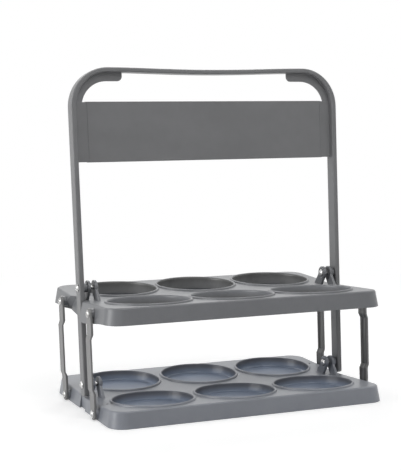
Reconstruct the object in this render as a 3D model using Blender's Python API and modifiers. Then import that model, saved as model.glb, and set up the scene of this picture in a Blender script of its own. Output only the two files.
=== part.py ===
"""Bottle rack: two six-bottle trays carried by a handle frame and four links.

The handle's legs and the links are equal arms, pivoted on both trays, so the
trays stay level while the frame leans or folds forward.
X runs along the trays, Y to the back and Z up. The rack stands on Z = 0.
Each deck is a shallow valley that slopes down to the line between its rows,
and a tray's Z = 0 is its deck's height at the centres of the bottle places.
"""
import math

import bmesh
import bpy
from mathutils import Matrix, Vector

# Bottle places
COLUMNS = 3
ROWS = 2
HOLE_RADIUS = 0.046
HOLE_SPACE_X = 0.0080
HOLE_SPACE_Y = 0.0170
COLLAR_DEPTH = 0.0110
CUP_INSET = 0.0012
CUP_DEPTH = 0.0085
CUP_TAPER = 0.0012
CUP_FILLET = 0.0030
LIP_HEIGHT = 0.0020
LIP_WIDTH = 0.0034
LIP_CREST = 0.0006

# Tray shell
END_MARGIN = 0.0197
SIDE_MARGIN = 0.0099
TRAY_HEIGHT = 0.0165
DECK_TILT = math.radians(2.5)
DRAFT = math.radians(9.5)
WALL = 0.0022
DECK = 0.0022
CORNER_RADIUS = 0.0185
EDGE_ROUND = 0.0020
RIB = 0.0020
UPPER_RIB_DEPTH = 0.0090
BASE_PAD_RADIUS = 0.0080
GATE_RADIUS = 0.0016
GATE_DEPTH = 0.0008
GATE_X = 0.1530
GATE_Y = 0.0548

# Arms of the parallelogram
ARM_LENGTH = 0.1099
LEAN = math.radians(3.6)
FOLD_LIMIT = math.radians(55.0)
GAP = 0.0003

# Links
LINK_PIVOT_DROP = 0.0097
LINK_WIDTH = 0.0159
LINK_END_RADIUS = 0.0065
LINK_TAPER = 0.0100
LINK_THICKNESS = 0.0020
LINK_JOGGLE = 0.0024
LINK_FLAT = 0.0225
LINK_JOGGLE_RUN = 0.0050
CHANNEL_WIDTH = 0.0104
CHANNEL_DEPTH = 0.0010
LINK_CLEARANCE = 0.0005
BOSS_RADIUS = 0.0058

# Link rivets
RIVET_RADIUS = 0.0020
RIVET_HEAD_RADIUS = 0.0039
RIVET_HEAD_HEIGHT = 0.0021
RIVET_TAIL_RADIUS = 0.0032
RIVET_TAIL_HEIGHT = 0.0012

# Handle frame, measured up the legs from the lower pivots
LEG_PIVOT_RISE = 0.0119
LEG_WIDTH = 0.0153
LEG_THICKNESS = 0.0060
LEG_INSET = 0.0008
HANDLE_RISE = 0.3535
HANDLE_CORNER = 0.0438
GRIP_THICKNESS = 0.0050
GRIP_DIP = 0.0022
WEB_WIDTH = 0.0098
WEB_SIDE_WIDTH = 0.0080
WEB_THICKNESS = 0.0026
WEB_REACH = 0.0185
WEB_END_ROUND = 0.0055
PANEL_BOTTOM = 0.2493
PANEL_TOP = 0.3162
PANEL_THICKNESS = 0.0044
PANEL_STRIP = 0.0140
PANEL_STRIP_THICKNESS = 0.0034
PANEL_STEP = 0.0030
PANEL_EDGE = 0.0004

# Pivot ears on the trays
EAR_RADIUS = 0.0080
EAR_FOOT = 0.0170
EAR_LEAN = 0.0110
NEAR_EAR_THICKNESS = 0.0031
FAR_EAR_THICKNESS = 0.0055
EAR_SPACE = 0.0023
EAR_BOSS_HEIGHT = 0.0041
EAR_BOSS_RADIUS = 0.0052

# Leg pins
PIN_RADIUS = 0.0025
PIN_HEAD_RADIUS = 0.0042
PIN_HEAD_HEIGHT = 0.0022

# Leg pockets in the trays' end walls
POCKET_CLEARANCE = 0.0006
POCKET_RAMP = 0.0120
GROOVE_DEPTH = 0.0031
APRON_DROP = 0.0075
APRON_FRONT = 0.025
APRON_BACK = 0.015
APRON_FRONT_SLOPE = 0.068
APRON_BACK_SLOPE = 0.057

# Smoothness and tolerances
RING_STEPS = 32
SMALL_STEPS = 12
ARC_STEPS = 6
OVERRUN = 0.0020
WELD = 0.00001
SHARP_ANGLE = math.radians(35.0)

# Sizes that follow from those above
PITCH_X = 2 * HOLE_RADIUS + HOLE_SPACE_X
PITCH_Y = 2 * HOLE_RADIUS + HOLE_SPACE_Y
CUP_RADIUS = HOLE_RADIUS - CUP_INSET
TRAY_LENGTH = (COLUMNS - 1) * PITCH_X + 2 * (HOLE_RADIUS + END_MARGIN)
TRAY_DEPTH = (ROWS - 1) * PITCH_Y + 2 * (HOLE_RADIUS + SIDE_MARGIN)
END_FACE = TRAY_LENGTH / 2
VALLEY_DROP = PITCH_Y / 2 * math.tan(DECK_TILT)
LINK_PIVOT_Y = (ROWS - 1) * PITCH_Y / 2
RISE = ARM_LENGTH * math.cos(LEAN)
SHIFT = ARM_LENGTH * math.sin(LEAN)
LEG_OUTER = END_FACE - LEG_INSET
LEG_INNER = LEG_OUTER - LEG_THICKNESS
POCKET_FLOOR = LEG_INNER - POCKET_CLEARANCE
BACKING = POCKET_FLOOR - WALL
NEAR_EAR_OUTER = LEG_INNER - GAP - EAR_BOSS_HEIGHT
NEAR_EAR_INNER = NEAR_EAR_OUTER - NEAR_EAR_THICKNESS
FAR_EAR_OUTER = NEAR_EAR_INNER - EAR_SPACE
FAR_EAR_INNER = FAR_EAR_OUTER - FAR_EAR_THICKNESS
LINK_INNER = END_FACE + APRON_DROP * math.tan(DRAFT) + LINK_CLEARANCE
LINK_HALF = ARM_LENGTH / 2
LEG_TURN = FOLD_LIMIT - LEAN
LEG_STOP = TRAY_HEIGHT + LEG_PIVOT_RISE + APRON_DROP
POCKET_FRONT = LEG_STOP * math.tan(LEAN) + LEG_WIDTH / 2 / math.cos(LEAN) + GAP

PLASTIC = (0.135, 0.140, 0.148, 1.0)
STEEL = (0.72, 0.72, 0.71, 1.0)


def clear_scene():
    """Remove every object that the file opened with."""
    for item in list(bpy.data.objects):
        bpy.data.objects.remove(item, do_unlink=True)


def new_collection(name):
    """A collection linked to the scene."""
    group = bpy.data.collections.new(name)
    bpy.context.scene.collection.children.link(group)
    return group


def new_material(name, colour, roughness, metallic):
    """A Principled material with one colour."""
    material = bpy.data.materials.new(name)
    material.use_nodes = True
    shader = material.node_tree.nodes["Principled BSDF"]
    shader.inputs["Base Color"].default_value = colour
    shader.inputs["Roughness"].default_value = roughness
    shader.inputs["Metallic"].default_value = metallic
    return material


def plastic(name):
    """Moulded grey plastic."""
    return new_material(name + "_plastic", PLASTIC, 0.55, 0.0)


def steel(name):
    """Bright plated steel."""
    return new_material(name + "_steel", STEEL, 0.28, 1.0)


def new_object(name, mesh, group, location=(0, 0, 0), rotation=(0, 0, 0)):
    """An object in one collection, at a place."""
    item = bpy.data.objects.new(name, mesh)
    item.location = location
    item.rotation_euler = rotation
    group.objects.link(item)
    return item


def shade(item, material):
    """Give an object its material and smooth its round faces."""
    item.data.materials.clear()
    item.data.materials.append(material)
    item.data.shade_smooth()
    item.data.set_sharp_from_angle(angle=SHARP_ANGLE)


def finished_mesh(item, name):
    """The mesh that an object's modifiers or bevels make, welded and facing out."""
    bpy.context.view_layer.update()
    graph = bpy.context.evaluated_depsgraph_get()
    mesh = bpy.data.meshes.new_from_object(item.evaluated_get(graph))
    mesh.name = name
    work = bmesh.new()
    work.from_mesh(mesh)
    bmesh.ops.remove_doubles(work, verts=work.verts, dist=WELD)
    bmesh.ops.recalc_face_normals(work, faces=work.faces)
    work.to_mesh(mesh)
    work.free()
    return mesh


def box_mesh(name, low, high):
    """A box between two corners."""
    size = Vector(high) - Vector(low)
    middle = (Vector(high) + Vector(low)) / 2
    work = bmesh.new()
    bmesh.ops.create_cube(work, size=1.0)
    bmesh.ops.scale(work, vec=size, verts=work.verts)
    bmesh.ops.translate(work, vec=middle, verts=work.verts)
    mesh = bpy.data.meshes.new(name)
    work.to_mesh(mesh)
    work.free()
    return mesh


def lean_in(work, rim, axes):
    """Draft: draw vertices towards the middle, the higher they are above the rim."""
    for vert in work.verts:
        lean = (vert.co.z - rim) * math.tan(DRAFT)
        for axis in axes:
            vert.co[axis] -= lean if vert.co[axis] > 0 else -lean


def deck_height(y):
    """Height of the valley-shaped deck, nought at the centres of the rows."""
    return abs(y) * math.tan(DECK_TILT) - VALLEY_DROP


def bend_to_valley(mesh):
    """Bend a flat tray down to the line between its rows, with its rim left level."""
    work = bmesh.new()
    work.from_mesh(mesh)
    bmesh.ops.triangulate(work, faces=work.faces)
    everything = work.verts[:] + work.edges[:] + work.faces[:]
    bmesh.ops.bisect_plane(work, geom=everything, dist=WELD, plane_co=(0, 0, 0), plane_no=(0, 1, 0))
    bmesh.ops.triangulate(work, faces=work.faces)
    for vert in work.verts:
        share = (vert.co.z + TRAY_HEIGHT) / (TRAY_HEIGHT - DECK)
        vert.co.z += min(max(share, 0), 1) * deck_height(vert.co.y)
    work.to_mesh(mesh)
    work.free()


def tray_box_mesh(name, length, depth, bottom, top, rim, corner, top_round=0):
    """A box with draft, round corners and, if asked, a round top edge."""
    work = bmesh.new()
    bmesh.ops.create_cube(work, size=1.0)
    bmesh.ops.scale(work, vec=(length, depth, top - bottom), verts=work.verts)
    bmesh.ops.translate(work, vec=(0, 0, (top + bottom) / 2), verts=work.verts)
    lean_in(work, rim, (0, 1))
    upright = [edge for edge in work.edges if abs(edge.verts[0].co.z - edge.verts[1].co.z) > WELD]
    bmesh.ops.bevel(work, geom=upright, offset=corner, segments=ARC_STEPS, profile=0.5, affect="EDGES")
    if top_round:
        edge_loop = [edge for edge in work.edges if all(abs(vert.co.z - top) < WELD for vert in edge.verts)]
        bmesh.ops.bevel(work, geom=edge_loop, offset=top_round, segments=2, profile=0.5, affect="EDGES")
    mesh = bpy.data.meshes.new(name)
    work.to_mesh(mesh)
    work.free()
    return mesh


def cylinder_mesh(name, radius, start, end, steps=SMALL_STEPS):
    """A closed cylinder along X between two X places."""
    work = bmesh.new()
    bmesh.ops.create_cone(
        work, cap_ends=True, segments=steps, radius1=radius, radius2=radius, depth=abs(end - start)
    )
    bmesh.ops.rotate(work, cent=(0, 0, 0), matrix=Matrix.Rotation(math.pi / 2, 3, "Y"), verts=work.verts)
    bmesh.ops.translate(work, vec=((start + end) / 2, 0, 0), verts=work.verts)
    mesh = bpy.data.meshes.new(name)
    work.to_mesh(mesh)
    work.free()
    return mesh


def plate_mesh(name, outline, thickness):
    """A flat outline with a thickness, centred on the outline's plane."""
    curve = bpy.data.curves.new(name + "_outline", "CURVE")
    curve.dimensions = "2D"
    curve.fill_mode = "BOTH"
    curve.extrude = thickness / 2
    spline = curve.splines.new("POLY")
    spline.points.add(len(outline) - 1)
    for point, (across, along) in zip(spline.points, outline):
        point.co = (across, along, 0, 1)
    spline.use_cyclic_u = True
    item = bpy.data.objects.new(name + "_outline", curve)
    bpy.context.scene.collection.objects.link(item)
    mesh = finished_mesh(item, name)
    bpy.data.objects.remove(item, do_unlink=True)
    bpy.data.curves.remove(curve)
    return mesh


def turned_mesh(name, profile, steps):
    """A profile of (radius, height) points, top to bottom, turned round Z."""
    points = [(radius, 0, height) for radius, height in profile]
    edges = [(index, index + 1) for index in range(len(points) - 1)]
    if profile[0][0] > 0:
        edges.append((len(points) - 1, 0))
    line = bpy.data.meshes.new(name + "_profile")
    line.from_pydata(points, edges, [])
    item = bpy.data.objects.new(name + "_profile", line)
    bpy.context.scene.collection.objects.link(item)
    screw = item.modifiers.new("Turn", "SCREW")
    screw.steps = steps
    screw.render_steps = steps
    screw.use_merge_vertices = True
    screw.merge_threshold = WELD
    mesh = finished_mesh(item, name)
    bpy.data.objects.remove(item, do_unlink=True)
    return mesh


def arc(centre, radii, start, end, steps):
    """Points on an ellipse's arc, angles in degrees from its first axis."""
    points = []
    for step in range(steps + 1):
        angle = math.radians(start + (end - start) * step / steps)
        across = centre[0] + radii[0] * math.cos(angle)
        along = centre[1] + radii[1] * math.sin(angle)
        points.append((across, along))
    return points


def joined_mesh(name, mesh, matrices):
    """One mesh that holds a copy of another for each matrix."""
    work = bmesh.new()
    for matrix in matrices:
        copy = mesh.copy()
        copy.transform(matrix)
        if matrix.determinant() < 0:
            copy.flip_normals()
        work.from_mesh(copy)
        bpy.data.meshes.remove(copy)
    result = bpy.data.meshes.new(name)
    work.to_mesh(result)
    work.free()
    return result


def on_both_ends(mesh):
    """The same mesh at the +X end and, turned half round Z, at the -X end."""
    turned = Matrix.Rotation(math.pi, 4, "Z")
    return joined_mesh(mesh.name, mesh, [Matrix.Identity(4), turned])


def mirrored_ends(mesh):
    """The same mesh at the +X end and mirrored at the -X end."""
    return joined_mesh(mesh.name, mesh, [Matrix.Identity(4), Matrix.Scale(-1, 4, (1, 0, 0))])


def boolean(item, mesh, operation, cutters):
    """Join to, or cut from, an object with a hidden mesh under the same parent."""
    tool = new_object(mesh.name, mesh, cutters)
    tool.hide_render = True
    tool.display_type = "WIRE"
    tool.parent = item
    modifier = item.modifiers.new(mesh.name, "BOOLEAN")
    modifier.operation = operation
    modifier.solver = "EXACT"
    modifier.object = tool


def baked_mesh(item, name):
    """The mesh that an object and its hidden tools make, with all of them removed."""
    mesh = finished_mesh(item, name)
    for child in list(item.children):
        bpy.data.objects.remove(child, do_unlink=True)
    bpy.data.objects.remove(item, do_unlink=True)
    return mesh


def bottle_places():
    """Centres of the bottle places on a tray."""
    places = []
    for row in range(ROWS):
        for column in range(COLUMNS):
            x = (column - (COLUMNS - 1) / 2) * PITCH_X
            y = (row - (ROWS - 1) / 2) * PITCH_Y
            places.append(Vector((x, y, 0)))
    return places


def at_bottle_places(name, mesh):
    """A copy of a turned mesh at each bottle place."""
    return joined_mesh(name, mesh, [Matrix.Translation(place) for place in bottle_places()])


def lip_outside(radius):
    """Profile of a lip's crest and rounded outer side, down into the deck."""
    crest = radius + (LIP_WIDTH + LIP_CREST) / 2
    side = (LIP_WIDTH - LIP_CREST) / 2
    return arc((crest, -DECK / 2), (side, LIP_HEIGHT + DECK / 2), 90, 0, 3)


def lip_inside(radius):
    """Profile of a lip's rounded inner side, seen from inside the opening."""
    crest = radius + (LIP_WIDTH - LIP_CREST) / 2
    side = (LIP_WIDTH - LIP_CREST) / 2
    turn = arc((crest, -DECK / 2), (side, LIP_HEIGHT + DECK / 2), 90, 180, 3)
    return [(crest, LIP_HEIGHT + OVERRUN)] + turn


def collar_mesh(name):
    """A solid plug with the outside of a hole's lip and collar."""
    outer = HOLE_RADIUS + WALL
    profile = [(0, LIP_HEIGHT)] + lip_outside(HOLE_RADIUS)
    profile += [(outer, -DECK / 2), (outer, -COLLAR_DEPTH), (0, -COLLAR_DEPTH)]
    return turned_mesh(name, profile, RING_STEPS)


def hole_mesh(name):
    """The space inside a hole, its lip and its collar."""
    bottom = -COLLAR_DEPTH - OVERRUN
    profile = [(0, LIP_HEIGHT + OVERRUN)] + lip_inside(HOLE_RADIUS)
    profile += [(HOLE_RADIUS, bottom), (0, bottom)]
    return turned_mesh(name, profile, RING_STEPS)


def cup_body_mesh(name):
    """A solid plug with the outside of a cup and its lip."""
    outer = CUP_RADIUS + WALL
    bottom = -CUP_DEPTH - DECK
    profile = [(0, LIP_HEIGHT)] + lip_outside(CUP_RADIUS)
    profile += [(outer, -DECK / 2), (outer - CUP_TAPER, bottom + CUP_FILLET)]
    profile += [(outer - CUP_TAPER - CUP_FILLET, bottom), (0, bottom)]
    return turned_mesh(name, profile, RING_STEPS)


def cup_space_mesh(name):
    """The space inside a cup, with a fillet round its floor."""
    floor = CUP_RADIUS - CUP_TAPER
    centre = (floor - CUP_FILLET, -CUP_DEPTH + CUP_FILLET)
    profile = [(0, LIP_HEIGHT + OVERRUN)] + lip_inside(CUP_RADIUS)
    profile += arc(centre, (CUP_FILLET, CUP_FILLET), 0, -90, 2)
    profile += [(0, -CUP_DEPTH)]
    return turned_mesh(name, profile, RING_STEPS)


def shell_inside_mesh(name, rim, bottom):
    """The space under a tray's deck, inside its walls, down past its bottom."""
    length = TRAY_LENGTH - 2 * WALL
    depth = TRAY_DEPTH - 2 * WALL
    corner = CORNER_RADIUS - WALL
    return tray_box_mesh(name, length, depth, bottom - OVERRUN, -DECK, rim, corner)


def rib_mesh(name, half_x, half_y, bottom, axis):
    """A rib under the deck that meets the drafted walls at both its ends."""
    work = bmesh.new()
    mesh = box_mesh(name, (-half_x, -half_y, bottom), (half_x, half_y, -DECK / 2))
    work.from_mesh(mesh)
    lean_in(work, -TRAY_HEIGHT, (axis,))
    work.to_mesh(mesh)
    work.free()
    return mesh


def ear_outline(lean):
    """A finger from its foot on the deck up round the pivot, in (Y, Z)."""
    top = arc((0, LEG_PIVOT_RISE), (EAR_RADIUS, EAR_RADIUS), -10, 190, 2 * ARC_STEPS)
    back = lean + EAR_FOOT / 2
    front = lean - EAR_FOOT / 2
    foot = -VALLEY_DROP - DECK / 2
    return top + [(front, foot), (back, foot)]


def ear_mesh(name, lean, outer, inner):
    """One upright ear of the +X end, between two X places."""
    mesh = plate_mesh(name, ear_outline(lean), outer - inner)
    mesh.transform(plane_to_side() @ Matrix.Translation((0, 0, (outer + inner) / 2)))
    return mesh


def plane_to_side():
    """Turns a flat outline's (X, Y, Z) into the rack's (Y, Z, X)."""
    return Matrix(((0, 0, 1, 0), (1, 0, 0, 0), (0, 1, 0, 0), (0, 0, 0, 1)))


def leg_sweep(height):
    """How far back a leg reaches at a height beside a tray, at the fold's limit."""
    depth = LEG_PIVOT_RISE - height
    return depth * math.tan(LEG_TURN) + LEG_WIDTH / 2 / math.cos(LEG_TURN) + POCKET_CLEARANCE


def wall_face(z):
    """X of the end wall's outer face at a height."""
    return END_FACE - (z + TRAY_HEIGHT) * math.tan(DRAFT)


def pocket_mesh(name, floor, inset, grow, top, bottom):
    """The swept space of a folding leg beside the tray, with a ramp up to the wall."""
    work = bmesh.new()
    bmesh.ops.create_cube(work, size=1.0)
    for vert in work.verts:
        z = top if vert.co.z > 0 else bottom
        outside = wall_face(z) - inset
        ramp = POCKET_RAMP * (outside - floor) / (END_FACE - POCKET_FLOOR)
        x = outside if vert.co.x > 0 else floor
        if vert.co.y > 0:
            y = leg_sweep(z) + grow + (ramp if vert.co.x > 0 else 0)
        else:
            y = -POCKET_FRONT - grow
        vert.co = (x, y, z)
    mesh = bpy.data.meshes.new(name)
    work.to_mesh(mesh)
    work.free()
    return mesh


def rim_trim_mesh(name):
    """Everything below the upper tray's rim, which drops round each leg with sloping ends."""
    reach = TRAY_DEPTH / 2 + OVERRUN
    rim = -TRAY_HEIGHT
    drop = -TRAY_HEIGHT - APRON_DROP
    deep = drop - 2 * OVERRUN
    outline = [(-reach, rim), (-APRON_FRONT - APRON_FRONT_SLOPE, rim), (-APRON_FRONT, drop)]
    outline += [(APRON_BACK, drop), (APRON_BACK + APRON_BACK_SLOPE, rim), (reach, rim)]
    outline += [(reach, deep), (-reach, deep)]
    mesh = plate_mesh(name, outline, TRAY_LENGTH + 2 * OVERRUN)
    mesh.transform(plane_to_side())
    return mesh


def link_pivots(mesh_name, radius, start, end):
    """Cylinders along X at the four link pivots of a tray."""
    mesh = cylinder_mesh(mesh_name, radius, start, end)
    matrices = []
    for end_sign in (1, -1):
        for row_sign in (1, -1):
            place = Matrix.Translation((0, row_sign * LINK_PIVOT_Y, -LINK_PIVOT_DROP))
            side = Matrix.Identity(4) if end_sign > 0 else Matrix.Scale(-1, 4, (1, 0, 0))
            matrices.append(side @ place)
    return joined_mesh(mesh_name, mesh, matrices)


def leg_pivots(mesh_name, radius, start, end):
    """Cylinders along X at the two leg pivots of a tray."""
    mesh = cylinder_mesh(mesh_name, radius, start, end)
    mesh.transform(Matrix.Translation((0, 0, LEG_PIVOT_RISE)))
    return mirrored_ends(mesh)


def united_mesh(name, meshes, cutters):
    """One closed mesh from several closed ones."""
    work = new_object(name + "_work", meshes[0], cutters)
    for mesh in meshes[1:]:
        boolean(work, mesh, "UNION", cutters)
    return baked_mesh(work, name)


def fittings_mesh(name, cutters):
    """The crossed ears for the leg pins and the bosses that the links turn on."""
    near = on_both_ends(ear_mesh(name + "_near_ears", -EAR_LEAN, NEAR_EAR_OUTER, NEAR_EAR_INNER))
    far = on_both_ends(ear_mesh(name + "_far_ears", EAR_LEAN, FAR_EAR_OUTER, FAR_EAR_INNER))
    hub_end = NEAR_EAR_OUTER + EAR_BOSS_HEIGHT
    hubs = leg_pivots(name + "_ear_hubs", EAR_BOSS_RADIUS, NEAR_EAR_OUTER - NEAR_EAR_THICKNESS / 2, hub_end)
    bosses = link_pivots(name + "_bosses", BOSS_RADIUS, BACKING, LINK_INNER - GAP)
    return united_mesh(name + "_fittings", [near, far, hubs, bosses], cutters)


def bores_mesh(name, cutters):
    """The bores for the leg pins and for the links' rivets."""
    hub_end = NEAR_EAR_OUTER + EAR_BOSS_HEIGHT
    pins = leg_pivots(name + "_pin_bores", PIN_RADIUS + GAP, FAR_EAR_INNER - OVERRUN, hub_end + OVERRUN)
    rivets = link_pivots(name + "_rivet_bores", RIVET_RADIUS + GAP, BACKING - OVERRUN, LINK_INNER + OVERRUN)
    return united_mesh(name + "_bores", [pins, rivets], cutters)


def add_gate_marks(tray, name, cutters):
    """The small round dimples where the plastic was fed into the mould."""
    mark = cylinder_mesh(name + "_gate_marks", GATE_RADIUS, -OVERRUN, GATE_DEPTH)
    mark.transform(Matrix.Rotation(math.pi / 2, 4, "Y"))
    mark.transform(Matrix.Translation((GATE_X, GATE_Y, 0)))
    boolean(tray, on_both_ends(mark), "DIFFERENCE", cutters)


def tray_shell(name, bottom, group):
    """A tray's outer body before anything is joined to it or cut from it."""
    mesh = tray_box_mesh(
        name, TRAY_LENGTH, TRAY_DEPTH, bottom, 0, -TRAY_HEIGHT, CORNER_RADIUS, EDGE_ROUND
    )
    return new_object(name + "_flat", mesh, group)


def add_ribs(tray, name, bottom, cutters):
    """Join the ribs under the deck: one along the tray, and one between columns."""
    along = rib_mesh(name + "_rib", END_FACE - WALL / 2, RIB / 2, bottom, 0)
    across = rib_mesh(name + "_cross_rib", RIB / 2, TRAY_DEPTH / 2 - WALL / 2, bottom, 1)
    places = [(column + 1 - COLUMNS / 2) * PITCH_X for column in range(COLUMNS - 1)]
    matrices = [Matrix.Translation((x, 0, 0)) for x in places]
    boolean(tray, along, "UNION", cutters)
    boolean(tray, joined_mesh(name + "_cross_ribs", across, matrices), "UNION", cutters)


def build_tray(flat, name, group, cutters, location, parent=None):
    """Bend a finished flat tray, then add what must stay square to its pivots."""
    mesh = baked_mesh(flat, name)
    bend_to_valley(mesh)
    tray = new_object(name, mesh, group, location)
    tray.parent = parent
    boolean(tray, fittings_mesh(name, cutters), "UNION", cutters)
    boolean(tray, bores_mesh(name, cutters), "DIFFERENCE", cutters)
    shade(tray, plastic(name))
    return tray


def build_lower_tray(group, cutters, location):
    """The base tray: six dished cups, flat rim and leg grooves."""
    name = "lower_tray"
    rim = -TRAY_HEIGHT
    flat = tray_shell(name, rim, cutters)
    boolean(flat, shell_inside_mesh(name + "_inside", rim, rim), "DIFFERENCE", cutters)
    boolean(flat, at_bottle_places(name + "_cup_bodies", cup_body_mesh("cup_body")), "UNION", cutters)
    add_ribs(flat, name, rim, cutters)
    pad = cylinder_mesh(name + "_base_pad", BASE_PAD_RADIUS, DECK / 2, TRAY_HEIGHT, RING_STEPS)
    pad.transform(Matrix.Rotation(math.pi / 2, 4, "Y"))
    boolean(flat, pad, "UNION", cutters)
    boolean(flat, at_bottle_places(name + "_cup_spaces", cup_space_mesh("cup_space")), "DIFFERENCE", cutters)
    floor = END_FACE - GROOVE_DEPTH
    reach = POCKET_FRONT + WALL
    backing = box_mesh(name + "_groove_backs", (floor - WALL, -reach, rim), (floor, reach, -DECK / 2))
    boolean(flat, mirrored_ends(backing), "UNION", cutters)
    low = (floor, -POCKET_FRONT, rim - OVERRUN)
    groove = box_mesh(name + "_leg_grooves", low, (END_FACE + OVERRUN, POCKET_FRONT, OVERRUN))
    boolean(flat, mirrored_ends(groove), "DIFFERENCE", cutters)
    add_gate_marks(flat, name, cutters)
    return build_tray(flat, name, group, cutters, location)


def build_upper_tray(group, cutters, parent):
    """The guide tray: six open holes with collars, and pockets for the legs."""
    name = "upper_tray"
    rim = -TRAY_HEIGHT
    deep = rim - APRON_DROP - OVERRUN
    flat = tray_shell(name, deep, cutters)
    boolean(flat, shell_inside_mesh(name + "_inside", rim, deep), "DIFFERENCE", cutters)
    boolean(flat, at_bottle_places(name + "_collars", collar_mesh("collar")), "UNION", cutters)
    add_ribs(flat, name, -UPPER_RIB_DEPTH, cutters)
    boolean(flat, at_bottle_places(name + "_holes", hole_mesh("hole")), "DIFFERENCE", cutters)
    backing = pocket_mesh(name + "_pocket_backs", BACKING, WALL / 2, WALL, -DECK / 2, deep + GAP)
    boolean(flat, mirrored_ends(backing), "UNION", cutters)
    space = pocket_mesh(name + "_pockets", POCKET_FLOOR, -OVERRUN, 0, OVERRUN, deep - OVERRUN)
    boolean(flat, mirrored_ends(space), "DIFFERENCE", cutters)
    boolean(flat, rim_trim_mesh(name + "_rim_trim"), "DIFFERENCE", cutters)
    return build_tray(flat, name, group, cutters, (0, 0, -LEG_PIVOT_RISE), parent)


def grip_height(x):
    """Height of the grip's top at a place along it: a shallow dip between the corners."""
    half = LEG_OUTER - HANDLE_CORNER
    share = min(abs(x) / half, 1)
    return HANDLE_RISE - GRIP_DIP * (1 - share * share) ** 2


def grip_line(drop, steps):
    """Points along the dipped grip from its left end to its right end, ends left out."""
    half = LEG_OUTER - HANDLE_CORNER
    places = [half * (2 * step / steps - 1) for step in range(1, steps)]
    return [(x, grip_height(x) - drop) for x in places]


def frame_outline():
    """The handle's band as one closed outline in (X, Z), legs open at the bottom."""
    half = LEG_OUTER - HANDLE_CORNER
    centre_z = HANDLE_RISE - HANDLE_CORNER
    bottom = -LEG_WIDTH / 2
    outer = (HANDLE_CORNER, HANDLE_CORNER)
    inner = (HANDLE_CORNER - LEG_THICKNESS, HANDLE_CORNER - GRIP_THICKNESS)
    points = [(-LEG_OUTER, bottom)] + arc((-half, centre_z), outer, 180, 90, ARC_STEPS)
    points += grip_line(0, 2 * ARC_STEPS)
    points += arc((half, centre_z), outer, 90, 0, ARC_STEPS)
    points += [(LEG_OUTER, bottom), (LEG_INNER, bottom)]
    points += arc((half, centre_z), inner, 0, 90, ARC_STEPS)
    points += reversed(grip_line(GRIP_THICKNESS, 2 * ARC_STEPS))
    points += arc((-half, centre_z), inner, 90, 180, ARC_STEPS)
    points += [(-LEG_INNER, bottom)]
    return points


def web_outline():
    """The corner web of the +X side in (X, Z): beside the panel, round the corner, along the grip."""
    half = LEG_OUTER - HANDLE_CORNER
    centre = (half, HANDLE_RISE - HANDLE_CORNER)
    inner = (HANDLE_CORNER - LEG_THICKNESS - WEB_SIDE_WIDTH, HANDLE_CORNER - GRIP_THICKNESS - WEB_WIDTH)
    seat = LEG_THICKNESS / 2
    outer = (HANDLE_CORNER - seat, HANDLE_CORNER - seat)
    low = centre[1] + inner[1]
    tip = half - WEB_REACH
    top = centre[1] + outer[1] - GRIP_DIP
    foot = PANEL_TOP - WEB_SIDE_WIDTH
    points = [(LEG_INNER + seat, foot)] + arc(centre, outer, 0, 90, ARC_STEPS)
    points += [(tip, top)]
    points += arc((tip + WEB_END_ROUND, low + WEB_END_ROUND), (WEB_END_ROUND, WEB_END_ROUND), 180, 270, 3)
    points += arc(centre, inner, 90, 0, ARC_STEPS)
    points += [(LEG_INNER - WEB_SIDE_WIDTH, foot)]
    return points


def panel_face_mesh(name):
    """The thick middle of the panel, whose two ends slope down to its end strips."""
    face = LEG_INNER - PANEL_STRIP
    half = [(-face - PANEL_STEP, 0), (-face, PANEL_THICKNESS / 2), (face, PANEL_THICKNESS / 2)]
    outline = half + [(-x, -y) for x, y in half]
    mesh = plate_mesh(name, outline, PANEL_TOP - PANEL_BOTTOM)
    mesh.transform(Matrix.Translation((0, 0, (PANEL_TOP + PANEL_BOTTOM) / 2)))
    return mesh


def add_panel(handle, name, cutters):
    """The wide panel: a plate from leg to leg, with a thicker middle."""
    reach = LEG_INNER + LEG_THICKNESS / 2
    thin = PANEL_STRIP_THICKNESS / 2
    low = (-reach, -thin, PANEL_BOTTOM + PANEL_EDGE)
    high = (reach, thin, PANEL_TOP - PANEL_EDGE)
    boolean(handle, box_mesh(name + "_panel_plate", low, high), "UNION", cutters)
    boolean(handle, panel_face_mesh(name + "_panel_face"), "UNION", cutters)


def plane_to_front():
    """Turns a flat outline's (X, Y) into the rack's (X, Z)."""
    return Matrix.Rotation(math.pi / 2, 4, "X")


def round_frame_edges(mesh):
    """Round the legs' lower ends about their pivots."""
    work = bmesh.new()
    work.from_mesh(mesh)
    bottom = -LEG_WIDTH / 2
    ends = []
    for edge in work.edges:
        low = all(abs(vert.co.z - bottom) < WELD for vert in edge.verts)
        across = abs(edge.verts[0].co.x - edge.verts[1].co.x) > LEG_THICKNESS / 2
        if low and across:
            ends.append(edge)
    radius = LEG_WIDTH / 2 - GAP
    bmesh.ops.bevel(work, geom=ends, offset=radius, segments=ARC_STEPS, profile=0.5, affect="EDGES")
    work.to_mesh(mesh)
    work.free()


def build_handle(group, cutters, parent):
    """The handle frame: legs, corners and grip in one band, with webs and a wide panel."""
    name = "handle_frame"
    band = plate_mesh(name, frame_outline(), LEG_WIDTH)
    band.transform(plane_to_front())
    round_frame_edges(band)
    handle = new_object(name, band, group)
    handle.parent = parent
    web = plate_mesh(name + "_webs", web_outline(), WEB_THICKNESS)
    web.transform(plane_to_front())
    boolean(handle, mirrored_ends(web), "UNION", cutters)
    add_panel(handle, name, cutters)
    bore = cylinder_mesh(name + "_bore", PIN_RADIUS + GAP, -LEG_OUTER - OVERRUN, LEG_OUTER + OVERRUN)
    places = [Matrix.Identity(4), Matrix.Translation((0, 0, ARM_LENGTH))]
    boolean(handle, joined_mesh(name + "_bores", bore, places), "DIFFERENCE", cutters)
    shade(handle, plastic(name))
    return handle


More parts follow.
